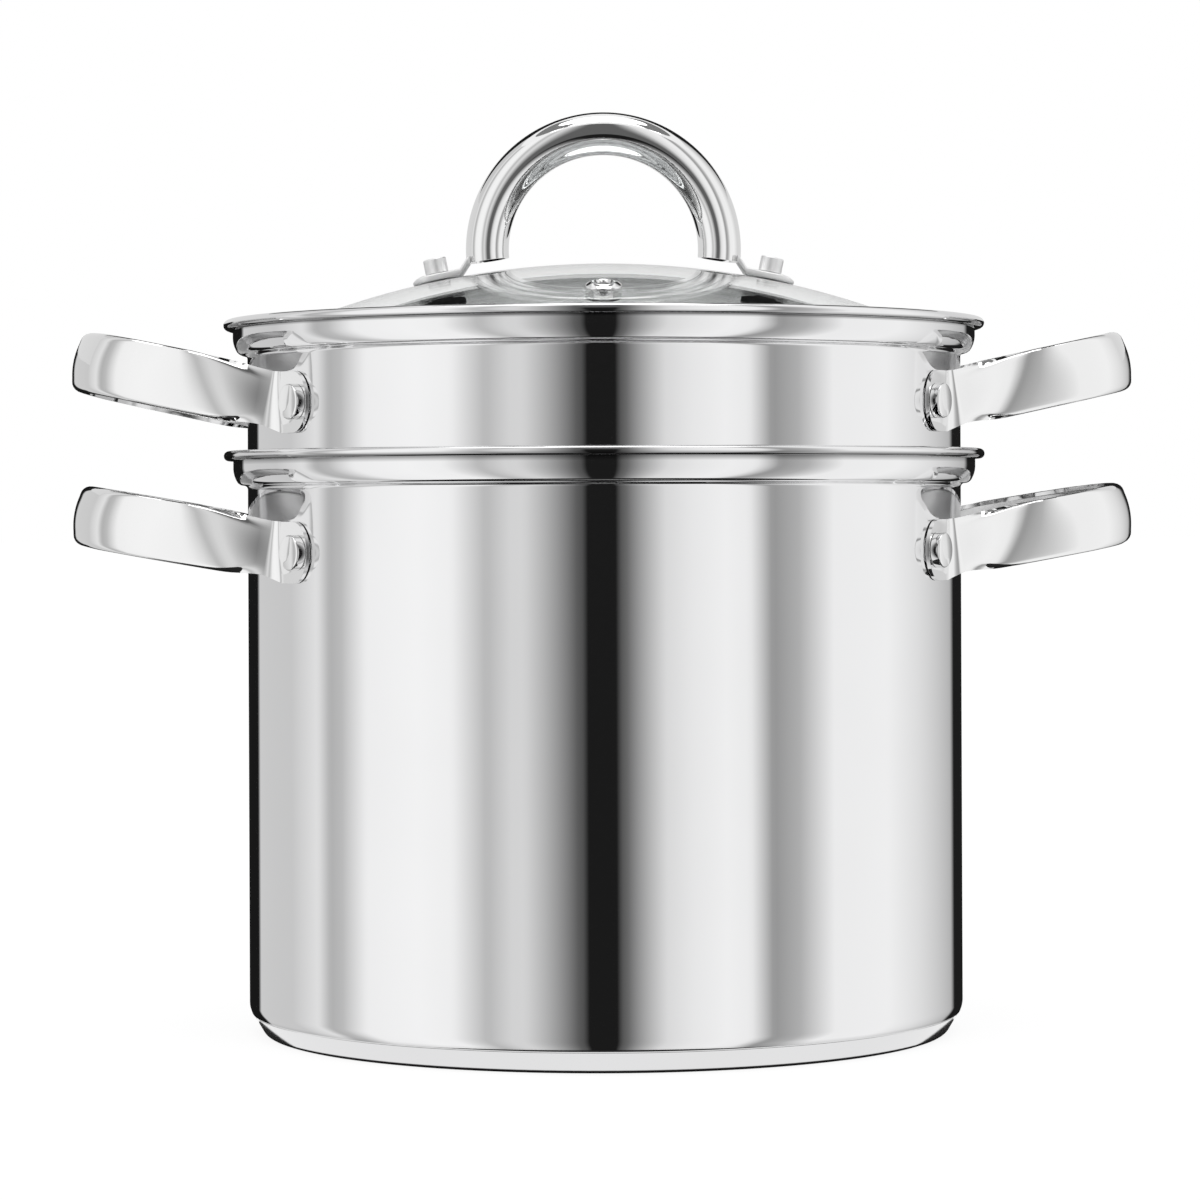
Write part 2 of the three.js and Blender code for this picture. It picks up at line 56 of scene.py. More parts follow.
# %% The socket wrapper
class Value:
    """A socket of a node tree, with the operators that shader formulas need."""

    def __init__(self, tree, socket):
        self.tree = tree
        self.socket = socket

    def math(self, operation, first, second=0):
        node = self.tree.nodes.new("ShaderNodeMath")
        node.operation = operation
        for slot, value in zip(node.inputs, (first, second)):
            plug(self.tree, slot, value)
        return Value(self.tree, node.outputs[0])

    def __add__(self, other):
        return self.math("ADD", self, other)

    def __radd__(self, other):
        return self.math("ADD", other, self)

    def __sub__(self, other):
        return self.math("SUBTRACT", self, other)

    def __rsub__(self, other):
        return self.math("SUBTRACT", other, self)

    def __mul__(self, other):
        return self.math("MULTIPLY", self, other)

    def __rmul__(self, other):
        return self.math("MULTIPLY", other, self)

    def __truediv__(self, other):
        return self.math("DIVIDE", self, other)

    def __abs__(self):
        return self.math("ABSOLUTE", self)

    def __gt__(self, other):
        return self.math("GREATER_THAN", self, other)

    def __lt__(self, other):
        return self.math("LESS_THAN", self, other)

    def at_least(self, other):
        return self.math("MAXIMUM", self, other)


def plug(tree, slot, value):
    """Links a Value to an input socket, or sets a plain number or colour there."""
    if isinstance(value, Value):
        tree.links.new(value.socket, slot)
    else:
        slot.default_value = value


# %% The node maker
class Finish:
    """A material, or the world, whose nodes are added one call at a time."""

    def __init__(self, owner):
        owner.use_nodes = True
        self.owner = owner
        self.tree = owner.node_tree
        self.tree.nodes.clear()

    def node(self, kind, settings=None, sockets=None, output=0):
        node = self.tree.nodes.new(kind)
        for name, value in (settings or {}).items():
            if name == "stops":
                ramp_stops(node.color_ramp, value)
            else:
                setattr(node, name, value)
        for name, value in (sockets or {}).items():
            plug(self.tree, node.inputs[name], value)
        return Value(self.tree, node.outputs[output]) if node.outputs else None


def ramp_stops(ramp, stops):
    """Gives a colour ramp its stops, each a position and a grey or a colour."""
    while len(ramp.elements) < len(stops):
        ramp.elements.new(0.5)
    for element, (position, colour) in zip(ramp.elements, stops):
        element.position = position
        rgb = (colour,) * 3 if isinstance(colour, (int, float)) else colour
        element.color = (*rgb, 1)


# %% [markdown]
# ## The steels
# Five steels are used. The drawn walls of the pot and the strainer are polished,
# with a faint grain that runs round the axis. The straps, rivets, rim band, lid
# tube and vent are mirror bright, and the base cap and the spacers are satin. The
# inner faces of the straps are tumbled, and the lid's foot plates, nuts and screws
# are tumbled and paler. A picture of brushed metal could be wrapped round each, but
# noise gives a grain that stays fine at any distance, squeezed along the axis on
# the walls and the cap and even on the rest. It feeds the roughness and a very low
# bump, and a second, soft noise clouds the colour a little. Three thin rings of the
# walls carry painted shade in their colour: in the seam over the base, and under
# each lip's curl, where the collar lies in shade.

# %% One recipe for steel
SHADE_HEIGHT_SPAN = 0.25
CLOUDED = 0.985


def steel(name, colour, rough, spread, grain, lift, painted_shade_rings=None):
    """Steel with noise scaled by `grain` as its grain, and painted shade in its colour at the heights
    that the ramp stops give.
    """
    finish = Finish(bpy.data.materials.new(name))
    place = finish.node("ShaderNodeTexCoord", output="Object")
    stretched = finish.node("ShaderNodeMapping", sockets={"Vector": place, "Scale": grain})
    lines = finish.node(
        "ShaderNodeTexNoise",
        sockets={"Vector": stretched, "Scale": 1.0, "Detail": 3.0, "Roughness": 0.6},
    )
    clouds = finish.node(
        "ShaderNodeTexNoise", sockets={"Vector": place, "Scale": 26.0, "Detail": 2.0}
    )
    tint = finish.node(
        "ShaderNodeValToRGB",
        {"stops": [(0.3, [c * CLOUDED for c in colour]), (0.7, colour)]},
        {"Fac": clouds},
    )
    # Painted shade: a ramp over the height darkens thin rings of the colour, in the seam over the
    # base and under each lip's curl.
    if painted_shade_rings:
        height = finish.node("ShaderNodeSeparateXYZ", sockets={"Vector": place}, output="Z")
        shade = finish.node("ShaderNodeValToRGB", {"stops": painted_shade_rings}, {"Fac": height / SHADE_HEIGHT_SPAN})
        tint = finish.node(
            "ShaderNodeMix", {"data_type": "RGBA", "blend_type": "MULTIPLY"},
            {0: 1.0, 6: tint, 7: shade}, output=2,
        )
    scratches = finish.node(
        "ShaderNodeBump", sockets={"Strength": lift, "Distance": 0.00002, "Height": lines}
    )
    surface = finish.node(
        "ShaderNodeBsdfPrincipled",
        sockets={
            "Base Color": tint,
            "Metallic": 1.0,
            "Roughness": rough + spread * lines,
            "Normal": scratches,
        },
    )
    finish.node("ShaderNodeOutputMaterial", sockets={"Surface": surface})
    print("finish:", name)
    return finish.owner


# %% Steel finishes
ring_grain = (60.0, 60.0, 5200.0)
even_grain = (900.0, 900.0, 900.0)

# The rings of painted shade: from and to what height, in metres, and how dark
BASE_SEAM = (0.0066, 0.0076, 0.72)
POT_LIP = (0.1766, 0.17805, 0.2)
STRAINER_LIP = (0.217, 0.21845, 0.2)
SOFT_EDGE = 0.0003
painted_shade_stops = [
    (height / SHADE_HEIGHT_SPAN, grey)
    for low, high, dark in (BASE_SEAM, POT_LIP, STRAINER_LIP)
    for height, grey in ((low, 1.0), (low + SOFT_EDGE, dark), (high - SOFT_EDGE, dark), (high, 1.0))
]
wall_steel = steel(
    "polished_wall_steel", (0.86, 0.86, 0.865),
    rough=0.02, spread=0.03, grain=ring_grain, lift=0.02, painted_shade_rings=painted_shade_stops,
)
strap_steel = steel(
    "mirror_strap_steel", (0.87, 0.87, 0.87), rough=0.03, spread=0.04, grain=even_grain, lift=0.015
)
satin_steel = steel(
    "satin_cap_steel", (0.76, 0.76, 0.765), rough=0.08, spread=0.06, grain=ring_grain, lift=0.04
)
inner_steel = steel(
    "tumbled_inner_steel", (0.8, 0.8, 0.8), rough=0.28, spread=0.1, grain=even_grain, lift=0.03
)
fastener_steel = steel(
    "tumbled_fastener_steel", (0.94, 0.94, 0.94),
    rough=0.42, spread=0.08, grain=even_grain, lift=0.03,
)

# %% [markdown]
# ## Aluminium, glass and silicone
# The aluminium core is hidden between the floor and the cap, and is only cast and
# dull. The lid is clear toughened glass, with wiped smears that change its
# roughness a little. Its index of refraction is lower than that of real glass,
# because the glass in the photograph mirrors very little. The gaskets are black
# silicone with a fine moulded grain. Three separate trees could be built for them,
# but they differ only in numbers, so one function makes all three.

# %% The other finishes
def soft_finish(name, dark, light, size, rough, spread, lift, **extras):
    """Clouded colour, clouded roughness and a fine bump, for what isn't steel."""
    finish = Finish(bpy.data.materials.new(name))
    place = finish.node("ShaderNodeTexCoord", output="Object")
    clouds = finish.node(
        "ShaderNodeTexNoise", sockets={"Vector": place, "Scale": size, "Detail": 4.0}
    )
    tint = finish.node(
        "ShaderNodeValToRGB", {"stops": [(0.3, dark), (0.7, light)]}, {"Fac": clouds}
    )
    sockets = {"Base Color": tint, "Roughness": rough + spread * clouds, **extras}
    if lift:
        sockets["Normal"] = finish.node(
            "ShaderNodeBump", sockets={"Strength": lift, "Distance": 0.0001, "Height": clouds}
        )
    surface = finish.node("ShaderNodeBsdfPrincipled", sockets=sockets)
    finish.node("ShaderNodeOutputMaterial", sockets={"Surface": surface})
    print("finish:", name)
    return finish.owner


cast_aluminium = soft_finish(
    "cast_aluminium", dark=(0.55, 0.56, 0.57), light=(0.68, 0.69, 0.7),
    size=900, rough=0.42, spread=0.2, lift=0.2, Metallic=1.0,
)
lid_glass_clear = soft_finish(
    "clear_lid_glass", dark=(0.93, 0.945, 0.94), light=(0.96, 0.975, 0.97),
    size=14, rough=0.0, spread=0.01, lift=0, **{"Transmission Weight": 1.0, "IOR": 1.32},
)
black_silicone = soft_finish(
    "black_silicone", dark=(0.012, 0.012, 0.013), light=(0.022, 0.022, 0.023),
    size=1500, rough=0.5, spread=0.2, lift=0.15, **{"Specular IOR Level": 0.0},
)

# %% [markdown]
# ## Turned pieces
# Most pieces of a pot are turned: one outline, swept once round the axis. In
# Blender that is `spin`. The outline needs only its corners, because a vertex
# bevel rounds each of them to its radius. A long straight edge gets a cut close
# to each end, so that the smooth shading of a small rounding doesn't bleed over
# the whole wall and bend what it mirrors. Sizes here are millimetres, as on the
# drawing, and a finished mesh is scaled to metres.

# %% Outlines
DEGREES_PER_SEGMENT = 11
FEWEST_SEGMENTS = 3


def outline(bm, corners, loop=False):
    """Edges through (radius, height, rounding) corners, each rounded by a bevel."""
    verts = [bm.verts.new((radius, 0, height)) for radius, height, _ in corners]
    ends = verts[1:] + verts[:1] if loop else verts[1:]
    for start, end in zip(verts, ends):
        bm.edges.new((start, end))
    for vert, (_, _, rounding) in zip(verts, corners):
        if rounding:
            one, other = (edge.other_vert(vert).co - vert.co for edge in vert.link_edges)
            turn = math.pi - one.angle(other)
            segments = max(FEWEST_SEGMENTS, round(math.degrees(turn) / DEGREES_PER_SEGMENT))
            bmesh.ops.bevel(
                bm, geom=[vert], offset=rounding * math.tan(turn / 2), offset_type="OFFSET",
                segments=segments, profile=0.5, affect="VERTICES", material=-1,
            )
    brace(bm)
    return verts[-1]


def brace(bm, longest=2.5, margin=0.25):
    """Cuts each long edge close to both ends, to hold the shading there."""
    for edge in [edge for edge in bm.edges if edge.calc_length() > longest]:
        for vert in list(edge.verts):
            bmesh.utils.edge_split(edge, vert, margin / edge.calc_length())


# %% Turning
WALL_STEPS = 160
FITTING_STEPS = 48


def full_turn(bm, steps):
    """Sweeps every edge once round Z."""
    bmesh.ops.spin(
        bm, geom=bm.verts[:] + bm.edges[:], cent=(0, 0, 0), axis=(0, 0, 1), dvec=(0, 0, 0),
        angle=2 * math.pi, steps=steps, use_merge=True, use_duplicate=False,
    )


def spun(bm, steps):
    """Sweeps every edge once round Z and closes the seam and the poles."""
    full_turn(bm, steps)
    bmesh.ops.remove_doubles(bm, verts=bm.verts, dist=1e-4)
    bmesh.ops.recalc_face_normals(bm, faces=bm.faces)


# %% From mesh to piece
MM = 0.001


def object_from(bm, name):
    """Makes a finished bmesh an object of the scene."""
    mesh = bpy.data.meshes.new(name)
    bm.to_mesh(mesh)
    bm.free()
    made = bpy.data.objects.new(name, mesh)
    bpy.context.scene.collection.objects.link(made)
    return made


def join(bm, part):
    """Adds a finished part to a bmesh."""
    mesh = bpy.data.meshes.new("joined_part")
    part.to_mesh(mesh)
    part.free()
    bm.from_mesh(mesh)
    bpy.data.meshes.remove(mesh)


def piece(bm, name, body, nodes, material, sharp=40):
    """Turns a mesh in millimetres into a smooth piece that stands for CAD nodes."""
    bmesh.ops.scale(bm, vec=(MM, MM, MM), verts=bm.verts)
    for face in bm.faces:
        face.smooth = True
    for edge in bm.edges:
        edge.smooth = not edge.is_boundary and edge.calc_face_angle() < math.radians(sharp)
    made = object_from(bm, name)
    made.data.materials.append(material)
    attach(made, body)
    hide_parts(*nodes)
    print("piece:", name, len(made.data.polygons), "faces")
    return made


def sheet_metal(made, gauge, offset=0.0):
    """Gives a surface its sheet thickness."""
    solidify = made.modifiers.new("sheet", "SOLIDIFY")
    solidify.thickness = gauge * MM
    solidify.offset = offset
    solidify.use_even_offset = True
    return made


# %% [markdown]
# ## The pot
# The pot is drawn from one disc of 0.8 mm sheet: floor, heel, wall, then a
# shoulder that steps out to a collar, a flared lip and a curl that hides the cut
# edge. It could be a solid with its inside cut away, but sheet is easier as its
# middle line, which is turned and then gets its thickness. The curl is made by
# spinning the outline's last vertex about the middle of the roll. The strainer
# has the same collar, so its corners come from one function.

# %% Collar and curl
WALL = 110.4
SHEET = 0.8
SHOULDER, SHOULDER_DROP = 113.26, 10.2
COLLAR, COLLAR_DROP = 114.9, 7.16
LIP = 116.7
CURL_DROP = 1.5
CURL_TURN = math.radians(235)
CURL_STEPS = 14


def collar(top):
    """Corners of the shoulder, the collar and the flared lip below its top."""
    return [
        (WALL, top - SHOULDER_DROP, 1.7),
        (SHOULDER, top - SHOULDER_DROP, 1.8),
        (COLLAR, top - COLLAR_DROP, 6.5),
        (COLLAR, top - SHEET / 2, 1.3),
        (LIP, top - SHEET / 2, 0),
    ]


def curl(bm, end, top):
    """Rolls the lip outwards and under, about two thirds of the way round."""
    bmesh.ops.spin(
        bm, geom=[end], cent=(LIP, 0, top - CURL_DROP), axis=(0, 1, 0), dvec=(0, 0, 0),
        angle=CURL_TURN, steps=CURL_STEPS, use_merge=False, use_duplicate=False,
    )


# %% Pot body
POT_TOP = 180.2
POT_FLOOR = 6
bm = bmesh.new()
heel = [(0, POT_FLOOR, 0), (108.2, POT_FLOOR, 1.0), (109.7, 6.9, 0.4), (WALL, 8.9, 5)]
end = outline(bm, [*heel, *collar(POT_TOP)])
curl(bm, end, POT_TOP)
spun(bm, WALL_STEPS)
pot_body = piece(bm, "pot_wall_drawn", "pot", ["pot_body"], wall_steel)
sheet_metal(pot_body, SHEET)

# %% [markdown]
# ## The layered base
# Under the floor lies an aluminium core, and a steel cap wraps it and meets the
# heel in a fine seam. A disc with a bevelled edge would come close, but the cap's
# side leans and mirrors the table, so it is an outline again: the flat, a small
# rounding and the leaning side, which ends at the seam. The core's solid stays,
# since nothing of it shows.

# %% Base cap and core
CAP_SHEET = 0.5
CAP_FLAT, CAP_ROUNDING = 105.71, 2.2
CAP_RIM, CAP_SEAM = 109.68, 7.0
bm = bmesh.new()
outline(bm, [(0, CAP_SHEET / 2, 0), (CAP_FLAT, CAP_SHEET / 2, CAP_ROUNDING), (CAP_RIM, CAP_SEAM, 0)])
spun(bm, WALL_STEPS)
base_cap = piece(bm, "base_cap_pressed", "pot", ["pot_base_cap"], satin_steel)
sheet_metal(base_cap, CAP_SHEET)
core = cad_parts["pot_base_core"]
core.data.materials.clear()
core.data.materials.append(cast_aluminium)

# %% [markdown]
# ## The strainer
# The insert hangs in the pot by a small seat step, and its basket is pierced with
# rows of holes. Cutting hundreds of holes out of a finished shell would leave long
# thin faces, so the wall is built from cells: a square with a round hole, made by
# bridging a ring of 16 edges to a circle of 16. A row is one cell, bent to the
# wall's curve and copied round the axis, and every second row is turned by half a
# cell. The floor is flat, so there a triangle fill between the circles is enough.

# %% Strainer rows
STRAINER_TOP = 220.6
BASKET_FOOT, BASKET_FOOT_RADIUS = 40.4, 100.6
BASKET_HEAD, BASKET_HEAD_RADIUS = 167.03, 106
HOLE, HOLE_SIDES = 2.6, 16
ROW_PITCH, ROW_COUNT = 15, 7
CELLS = 40
PIERCED_FROM = 46.5


def basket_radius(height):
    """The tapered basket wall's radius at a height."""
    taper = BASKET_HEAD_RADIUS - BASKET_FOOT_RADIUS
    return BASKET_FOOT_RADIUS + taper * (height - BASKET_FOOT) / (BASKET_HEAD - BASKET_FOOT)


def punch(bm, place=Matrix()):
    """The round edge of one hole."""
    bmesh.ops.create_circle(bm, cap_ends=False, segments=HOLE_SIDES, radius=HOLE, matrix=place)


def pierced_row(bm, row):
    """One row of the basket wall: a cell with a hole, copied round the axis."""
    cell = bmesh.new()
    bmesh.ops.create_grid(cell, x_segments=4, y_segments=4, size=0.5)
    bmesh.ops.delete(cell, geom=[v for v in cell.verts if not v.is_boundary], context="VERTS")
    middle = PIERCED_FROM + (row + 0.5) * ROW_PITCH
    width = 2 * math.pi * basket_radius(middle) / CELLS
    bmesh.ops.scale(cell, vec=(width, ROW_PITCH, 1), verts=cell.verts)
    punch(cell)
    bmesh.ops.bridge_loops(cell, edges=cell.edges[:])
    first = 2 * math.pi / CELLS * (0.5 if row % 2 == 0 else 0)
    for vert in cell.verts:
        height = middle + vert.co.y
        angle = first + vert.co.x / width * 2 * math.pi / CELLS
        radius = basket_radius(height)
        vert.co = (radius * math.cos(angle), radius * math.sin(angle), height)
    bmesh.ops.spin(
        cell, geom=cell.verts[:] + cell.edges[:] + cell.faces[:], cent=(0, 0, 0),
        axis=(0, 0, 1), dvec=(0, 0, 0), angle=2 * math.pi * (CELLS - 1) / CELLS,
        steps=CELLS - 1, use_duplicate=True, use_merge=False,
    )
    join(bm, cell)


# %% Strainer floor
BASKET_FLOOR = 30.4
FLOOR_FLAT = 90
RING_COUNT, RING_PITCH = 5, 17
HOLES_PER_RING = 5
FLOOR_TURN = math.radians(4.5)


def pierced_floor(bm):
    """The flat of the basket floor: a hole in the middle and rings of holes round it."""
    floor = bmesh.new()
    level = Matrix.Translation((0, 0, BASKET_FLOOR))
    bmesh.ops.create_circle(
        floor, cap_ends=False, segments=WALL_STEPS, radius=FLOOR_FLAT,
        matrix=level @ Matrix.Rotation(math.pi / 2, 4, "Z"),
    )
    punch(floor, level)
    for ring in range(1, RING_COUNT + 1):
        radius = RING_PITCH * ring
        count = HOLES_PER_RING * ring
        for i in range(count):
            angle = 2 * math.pi * i / count + FLOOR_TURN
            place = Vector((radius * math.cos(angle), radius * math.sin(angle), 0))
            punch(floor, level @ Matrix.Translation(place))
    bmesh.ops.triangle_fill(floor, use_beauty=True, use_dissolve=False, edges=floor.edges[:])
    join(bm, floor)


# %% Strainer body
SEAT = 169.23
SEAT_ROUNDING = 2.1
FLOOR_ROUNDING = 9.8
pierced_to = PIERCED_FROM + ROW_COUNT * ROW_PITCH
bm = bmesh.new()
end = outline(
    bm,
    [
        (basket_radius(pierced_to), pierced_to, 0),
        (BASKET_HEAD_RADIUS, SEAT, SEAT_ROUNDING),
        (WALL, SEAT, SEAT_ROUNDING),
        *collar(STRAINER_TOP),
    ],
)
curl(bm, end, STRAINER_TOP)
outline(
    bm,
    [
        (FLOOR_FLAT, BASKET_FLOOR, 0),
        (BASKET_FOOT_RADIUS, BASKET_FLOOR, FLOOR_ROUNDING),
        (basket_radius(PIERCED_FROM), PIERCED_FROM, 0),
    ],
)
spun(bm, WALL_STEPS)
for row in range(ROW_COUNT):
    pierced_row(bm, row)
pierced_floor(bm)
bmesh.ops.remove_doubles(bm, verts=bm.verts, dist=0.02)
bmesh.ops.recalc_face_normals(bm, faces=bm.faces)
open_edges = sum(edge.is_boundary for edge in bm.edges)
strainer_body = piece(
    bm, "strainer_basket_pierced", "strainer", ["strainer_body"], wall_steel
)
sheet_metal(strainer_body, SHEET)
print("strainer: open edges before thickness", open_edges)

# %% [markdown]
# ## The side handles
# Each handle is a flat blank that a press forms and bends: two flat feet, a sharp
# bend, a bowed leg, a round corner and a bowed grip bar, with the long edges of the
# legs and the bar turned in. A section swept along a curve would need the same
# shape all the way, and this one changes, so it is made here as the press makes it.
# A flat grid is the blank. Its columns run from the foot's tip to the middle of the
# bar and its rows across the strap, and each vertex is moved to where the bend puts
# it. A mirror makes the second half, and Solidify gives the gauge.

# %% The strap's sizes
GAUGE = 1.2
HALF, NECK = 9.2, 8.2

# The foot: the rivet's place on it, its rounded tip, its reach and its bend
RIVET_ANGLE = math.radians(31.5)
FOOT_FRONT = 112.25
FOOT_TIP, TIP_FROM = 5.8, 2.0
TIP_CUT, TIP_SWEEP = math.radians(12), math.radians(78)
FOOT_REACH = 8.5
FOOT_BEND = 5.0 + GAUGE / 2

# The leg, the corner and the bar: headings turn from straight out to along the bar
LEG_FROM, LEG_TO, BAR_FROM = math.radians(-5), math.radians(22), math.radians(70)
LEG_SLANT = math.radians(-24)
CORNER = 24.0
BAR_X = 163.4

TIP_COLUMNS, FOOT_COLUMNS, BEND_COLUMNS = 7, 4, 8
LEG_COLUMNS, CORNER_COLUMNS, BAR_COLUMNS = 14, 18, 8

foot_heading = math.pi / 2 - RIVET_ANGLE
foot_along = Vector((math.cos(foot_heading), math.sin(foot_heading)))
rivet_spot = FOOT_FRONT * Vector((math.cos(RIVET_ANGLE), -math.sin(RIVET_ANGLE)))
tip_start = rivet_spot + TIP_FROM * foot_along
bend_start = rivet_spot + FOOT_REACH * foot_along
bend_radius = FOOT_BEND - GAUGE
bend_centre = bend_start + bend_radius * Vector((foot_along.y, -foot_along.x))
print("strap: foot heading", round(math.degrees(foot_heading), 1), "degrees")


# %% The strap's path
def column(place, heading, half, form=0, bent=0, slant=0):
    """Where a column goes, its heading and half width, and how far it is formed, bent and slanted."""
    return place, heading, half, form, bent, slant


def bow(radius, start, heading):
    """How far a bend of that radius carries the strap between two headings."""
    return radius * Vector((
        math.sin(heading) - math.sin(start), math.cos(start) - math.cos(heading)
    ))


def foot_columns():
    """Columns of the rounded tip, the flat foot and its bend."""
    columns = []
    for i in range(TIP_COLUMNS):
        angle = TIP_CUT + i / TIP_COLUMNS * TIP_SWEEP
        place = tip_start - (FOOT_TIP + TIP_FROM) * math.cos(angle) * foot_along
        columns.append(column(place, foot_heading, HALF * math.sin(angle)))
    for i in range(FOOT_COLUMNS):
        place = tip_start.lerp(bend_start, i / FOOT_COLUMNS)
        columns.append(column(place, foot_heading, HALF))
    for i in range(BEND_COLUMNS + 1):
        turn = i / BEND_COLUMNS
        heading = foot_heading + (LEG_FROM - foot_heading) * turn
        side = Vector((-math.sin(heading), math.cos(heading)))
        half = HALF + (NECK - HALF) * turn
        columns.append(column(bend_centre + bend_radius * side, heading, half, bent=turn))
    return columns


def grip_columns(leg_start):
    """Columns of the bowed leg, the round corner and half of the bowed bar."""
    columns = []
    ahead = bow(CORNER, LEG_TO, BAR_FROM)
    leg = bow(1, LEG_FROM, LEG_TO)
    bar = bow(1, BAR_FROM, math.pi / 2)
    swing = bar.x / bar.y
    leg_bend = (
        (BAR_X - leg_start.x - ahead.x + swing * (leg_start.y + ahead.y))
        / (leg.x - swing * leg.y)
    )
    for i in range(1, LEG_COLUMNS):
        part = i / LEG_COLUMNS
        heading = LEG_FROM + (LEG_TO - LEG_FROM) * part
        place = leg_start + bow(leg_bend, LEG_FROM, heading)
        form = min(1, part * 2)
        form = form * form * (3 - 2 * form)
        half = NECK + (HALF - NECK) * form
        slant = LEG_SLANT * math.sin(math.pi * part) ** 2
        columns.append(column(place, heading, half, form=form, bent=1, slant=slant))
    leg_end = leg_start + bow(leg_bend, LEG_FROM, LEG_TO)
    for i in range(CORNER_COLUMNS + 1):
        heading = LEG_TO + (BAR_FROM - LEG_TO) * i / CORNER_COLUMNS
        place = leg_end + bow(CORNER, LEG_TO, heading)
        columns.append(column(place, heading, HALF, form=1, bent=1))
    bar_start = columns[-1][0]
    bar_bend = -bar_start.y / bar.y
    for i in range(1, BAR_COLUMNS + 1):
        heading = BAR_FROM + (math.pi / 2 - BAR_FROM) * i / BAR_COLUMNS
        place = bar_start + bow(bar_bend, BAR_FROM, heading)
        columns.append(column(place, heading, HALF, form=1, bent=1))
    return columns


# %% The strap's section
DEPTH = 5.0
CROWN = 0.8


def strap_section(across, half, form, edge):
    """(up, out) on the strap's outer face: flat where form is 0, a channel where it is 1."""
    straight, bend, flange = HALF - edge, edge * math.pi / 2, DEPTH - edge
    along = abs(across) * (straight + bend + flange)
    if along < straight:
        up, out = along, CROWN * (1 - (along / straight) ** 2)
    elif along < straight + bend:
        angle = (along - straight) / edge
        up, out = straight + edge * math.sin(angle), edge * (math.cos(angle) - 1)
    else:
        up, out = HALF, -edge - (along - straight - bend)
    flat = abs(across) * half
    up = flat + (up - flat) * form
    return math.copysign(up, across), out * form


# %% Bending the blank
STRAP_ROWS = 28
LEG_STEP = 1.4
LEG_ROLL = math.radians(1.5)
LEG_EDGE, BAR_EDGE = 1.1, 3.2
EDGE_TURN = math.radians(60)


def bent_blank(rise):
    """Half of a side handle, from the tip of one foot to the middle of the bar."""
    columns = foot_columns()
    columns += grip_columns(columns[-1][0])
    lean = math.atan((rise - LEG_STEP) / (BAR_X - DEPTH / 2 - bend_centre.x))
    bm = bmesh.new()
    bmesh.ops.create_grid(bm, x_segments=len(columns) - 1, y_segments=STRAP_ROWS, size=1)
    for vert in bm.verts:
        at = round((vert.co.x + 1) / 2 * (len(columns) - 1))
        place, heading, half, form, bent, slant = columns[at]
        rounded = min(1, max(0, (heading - LEG_TO) / EDGE_TURN))
        edge = LEG_EDGE + (BAR_EDGE - LEG_EDGE) * rounded
        up, out = strap_section(vert.co.y, half, form, edge)
        roll = LEG_ROLL * bent * math.cos(heading)
        up, out = (
            up * math.cos(roll) + out * math.sin(roll),
            out * math.cos(roll) - up * math.sin(roll),
        )
        x = place.x + out * math.sin(heading)
        y = place.y - out * math.cos(heading)
        climb = math.tan(lean) * max(x - bend_centre.x, 0)
        tilt = lean * bent + slant
        up /= math.cos(slant)
        z = LEG_STEP * bent + climb + up * math.cos(tilt)
        vert.co = (x - up * math.sin(tilt), y, z)
    return bm


# %% Four handles
POT_RIVET, POT_RISE = 149.3, 11.3
STRAINER_RIVET, STRAINER_RISE = 194.1, 13.6
GRIP_FRONT = 170
HALVES_MEET = 0.01
EDGE_ROUNDING = 0.45


def side_handle(rise, height, name, body, node, turn):
    """One side handle, turned to its side of the pot."""
    bm = bent_blank(rise)
    bmesh.ops.mirror(
        bm, geom=bm.verts[:] + bm.edges[:] + bm.faces[:], axis="Y", merge_dist=HALVES_MEET
    )
    bmesh.ops.remove_doubles(bm, verts=bm.verts, dist=HALVES_MEET)
    bmesh.ops.recalc_face_normals(bm, faces=bm.faces)
    front = Vector((GRIP_FRONT, 0, rise))
    middle = min(bm.faces, key=lambda face: (face.calc_center_median() - front).length)
    if middle.normal.x < 0:
        bmesh.ops.reverse_faces(bm, faces=bm.faces)
    bmesh.ops.rotate(bm, cent=(0, 0, 0), matrix=Matrix.Rotation(turn, 3, "Z"), verts=bm.verts)
    bmesh.ops.translate(bm, vec=(0, 0, height), verts=bm.verts)
    made = piece(bm, name, body, [node], strap_steel, sharp=60)
    made.data.materials.append(inner_steel)
    sheet_metal(made, GAUGE, offset=-1.0).modifiers["sheet"].material_offset = 1
    rounding = made.modifiers.new("edge", "BEVEL")
    rounding.width = EDGE_ROUNDING * MM
    rounding.segments = 3
    rounding.limit_method = "ANGLE"
    rounding.angle_limit = math.radians(50)
    rounding.harden_normals = True
    return made


for owner, height, rise in (
    ("pot", POT_RIVET, POT_RISE), ("strainer", STRAINER_RIVET, STRAINER_RISE)
):
    for side, turn in (("right", 0), ("left", math.pi)):
        side_handle(rise, height, f"{owner}_strap_{side}", owner, f"{owner}_handle_{side}", turn)

# %% [markdown]
# ## Rivets and spacers
# A rivet with a tall, flat head and a softened rim holds each foot, and a thin
# round spacer lies between the foot and the wall. Cylinders with a bevel would
# nearly do, but an outline gives the head its slight dome and the shank its inner
# end as well. It is spun about Z and then laid along the rivet's direction.

# %% Rivets and spacers
def fitting(corners, name, body, node, material, place, loop=False):
    """A small turned piece, spun about Z and then put in its place."""
    bm = bmesh.new()
    outline(bm, corners, loop)
    spun(bm, FITTING_STEPS)
    bmesh.ops.transform(bm, matrix=place, verts=bm.verts)
    return piece(bm, name, body, [node], material)


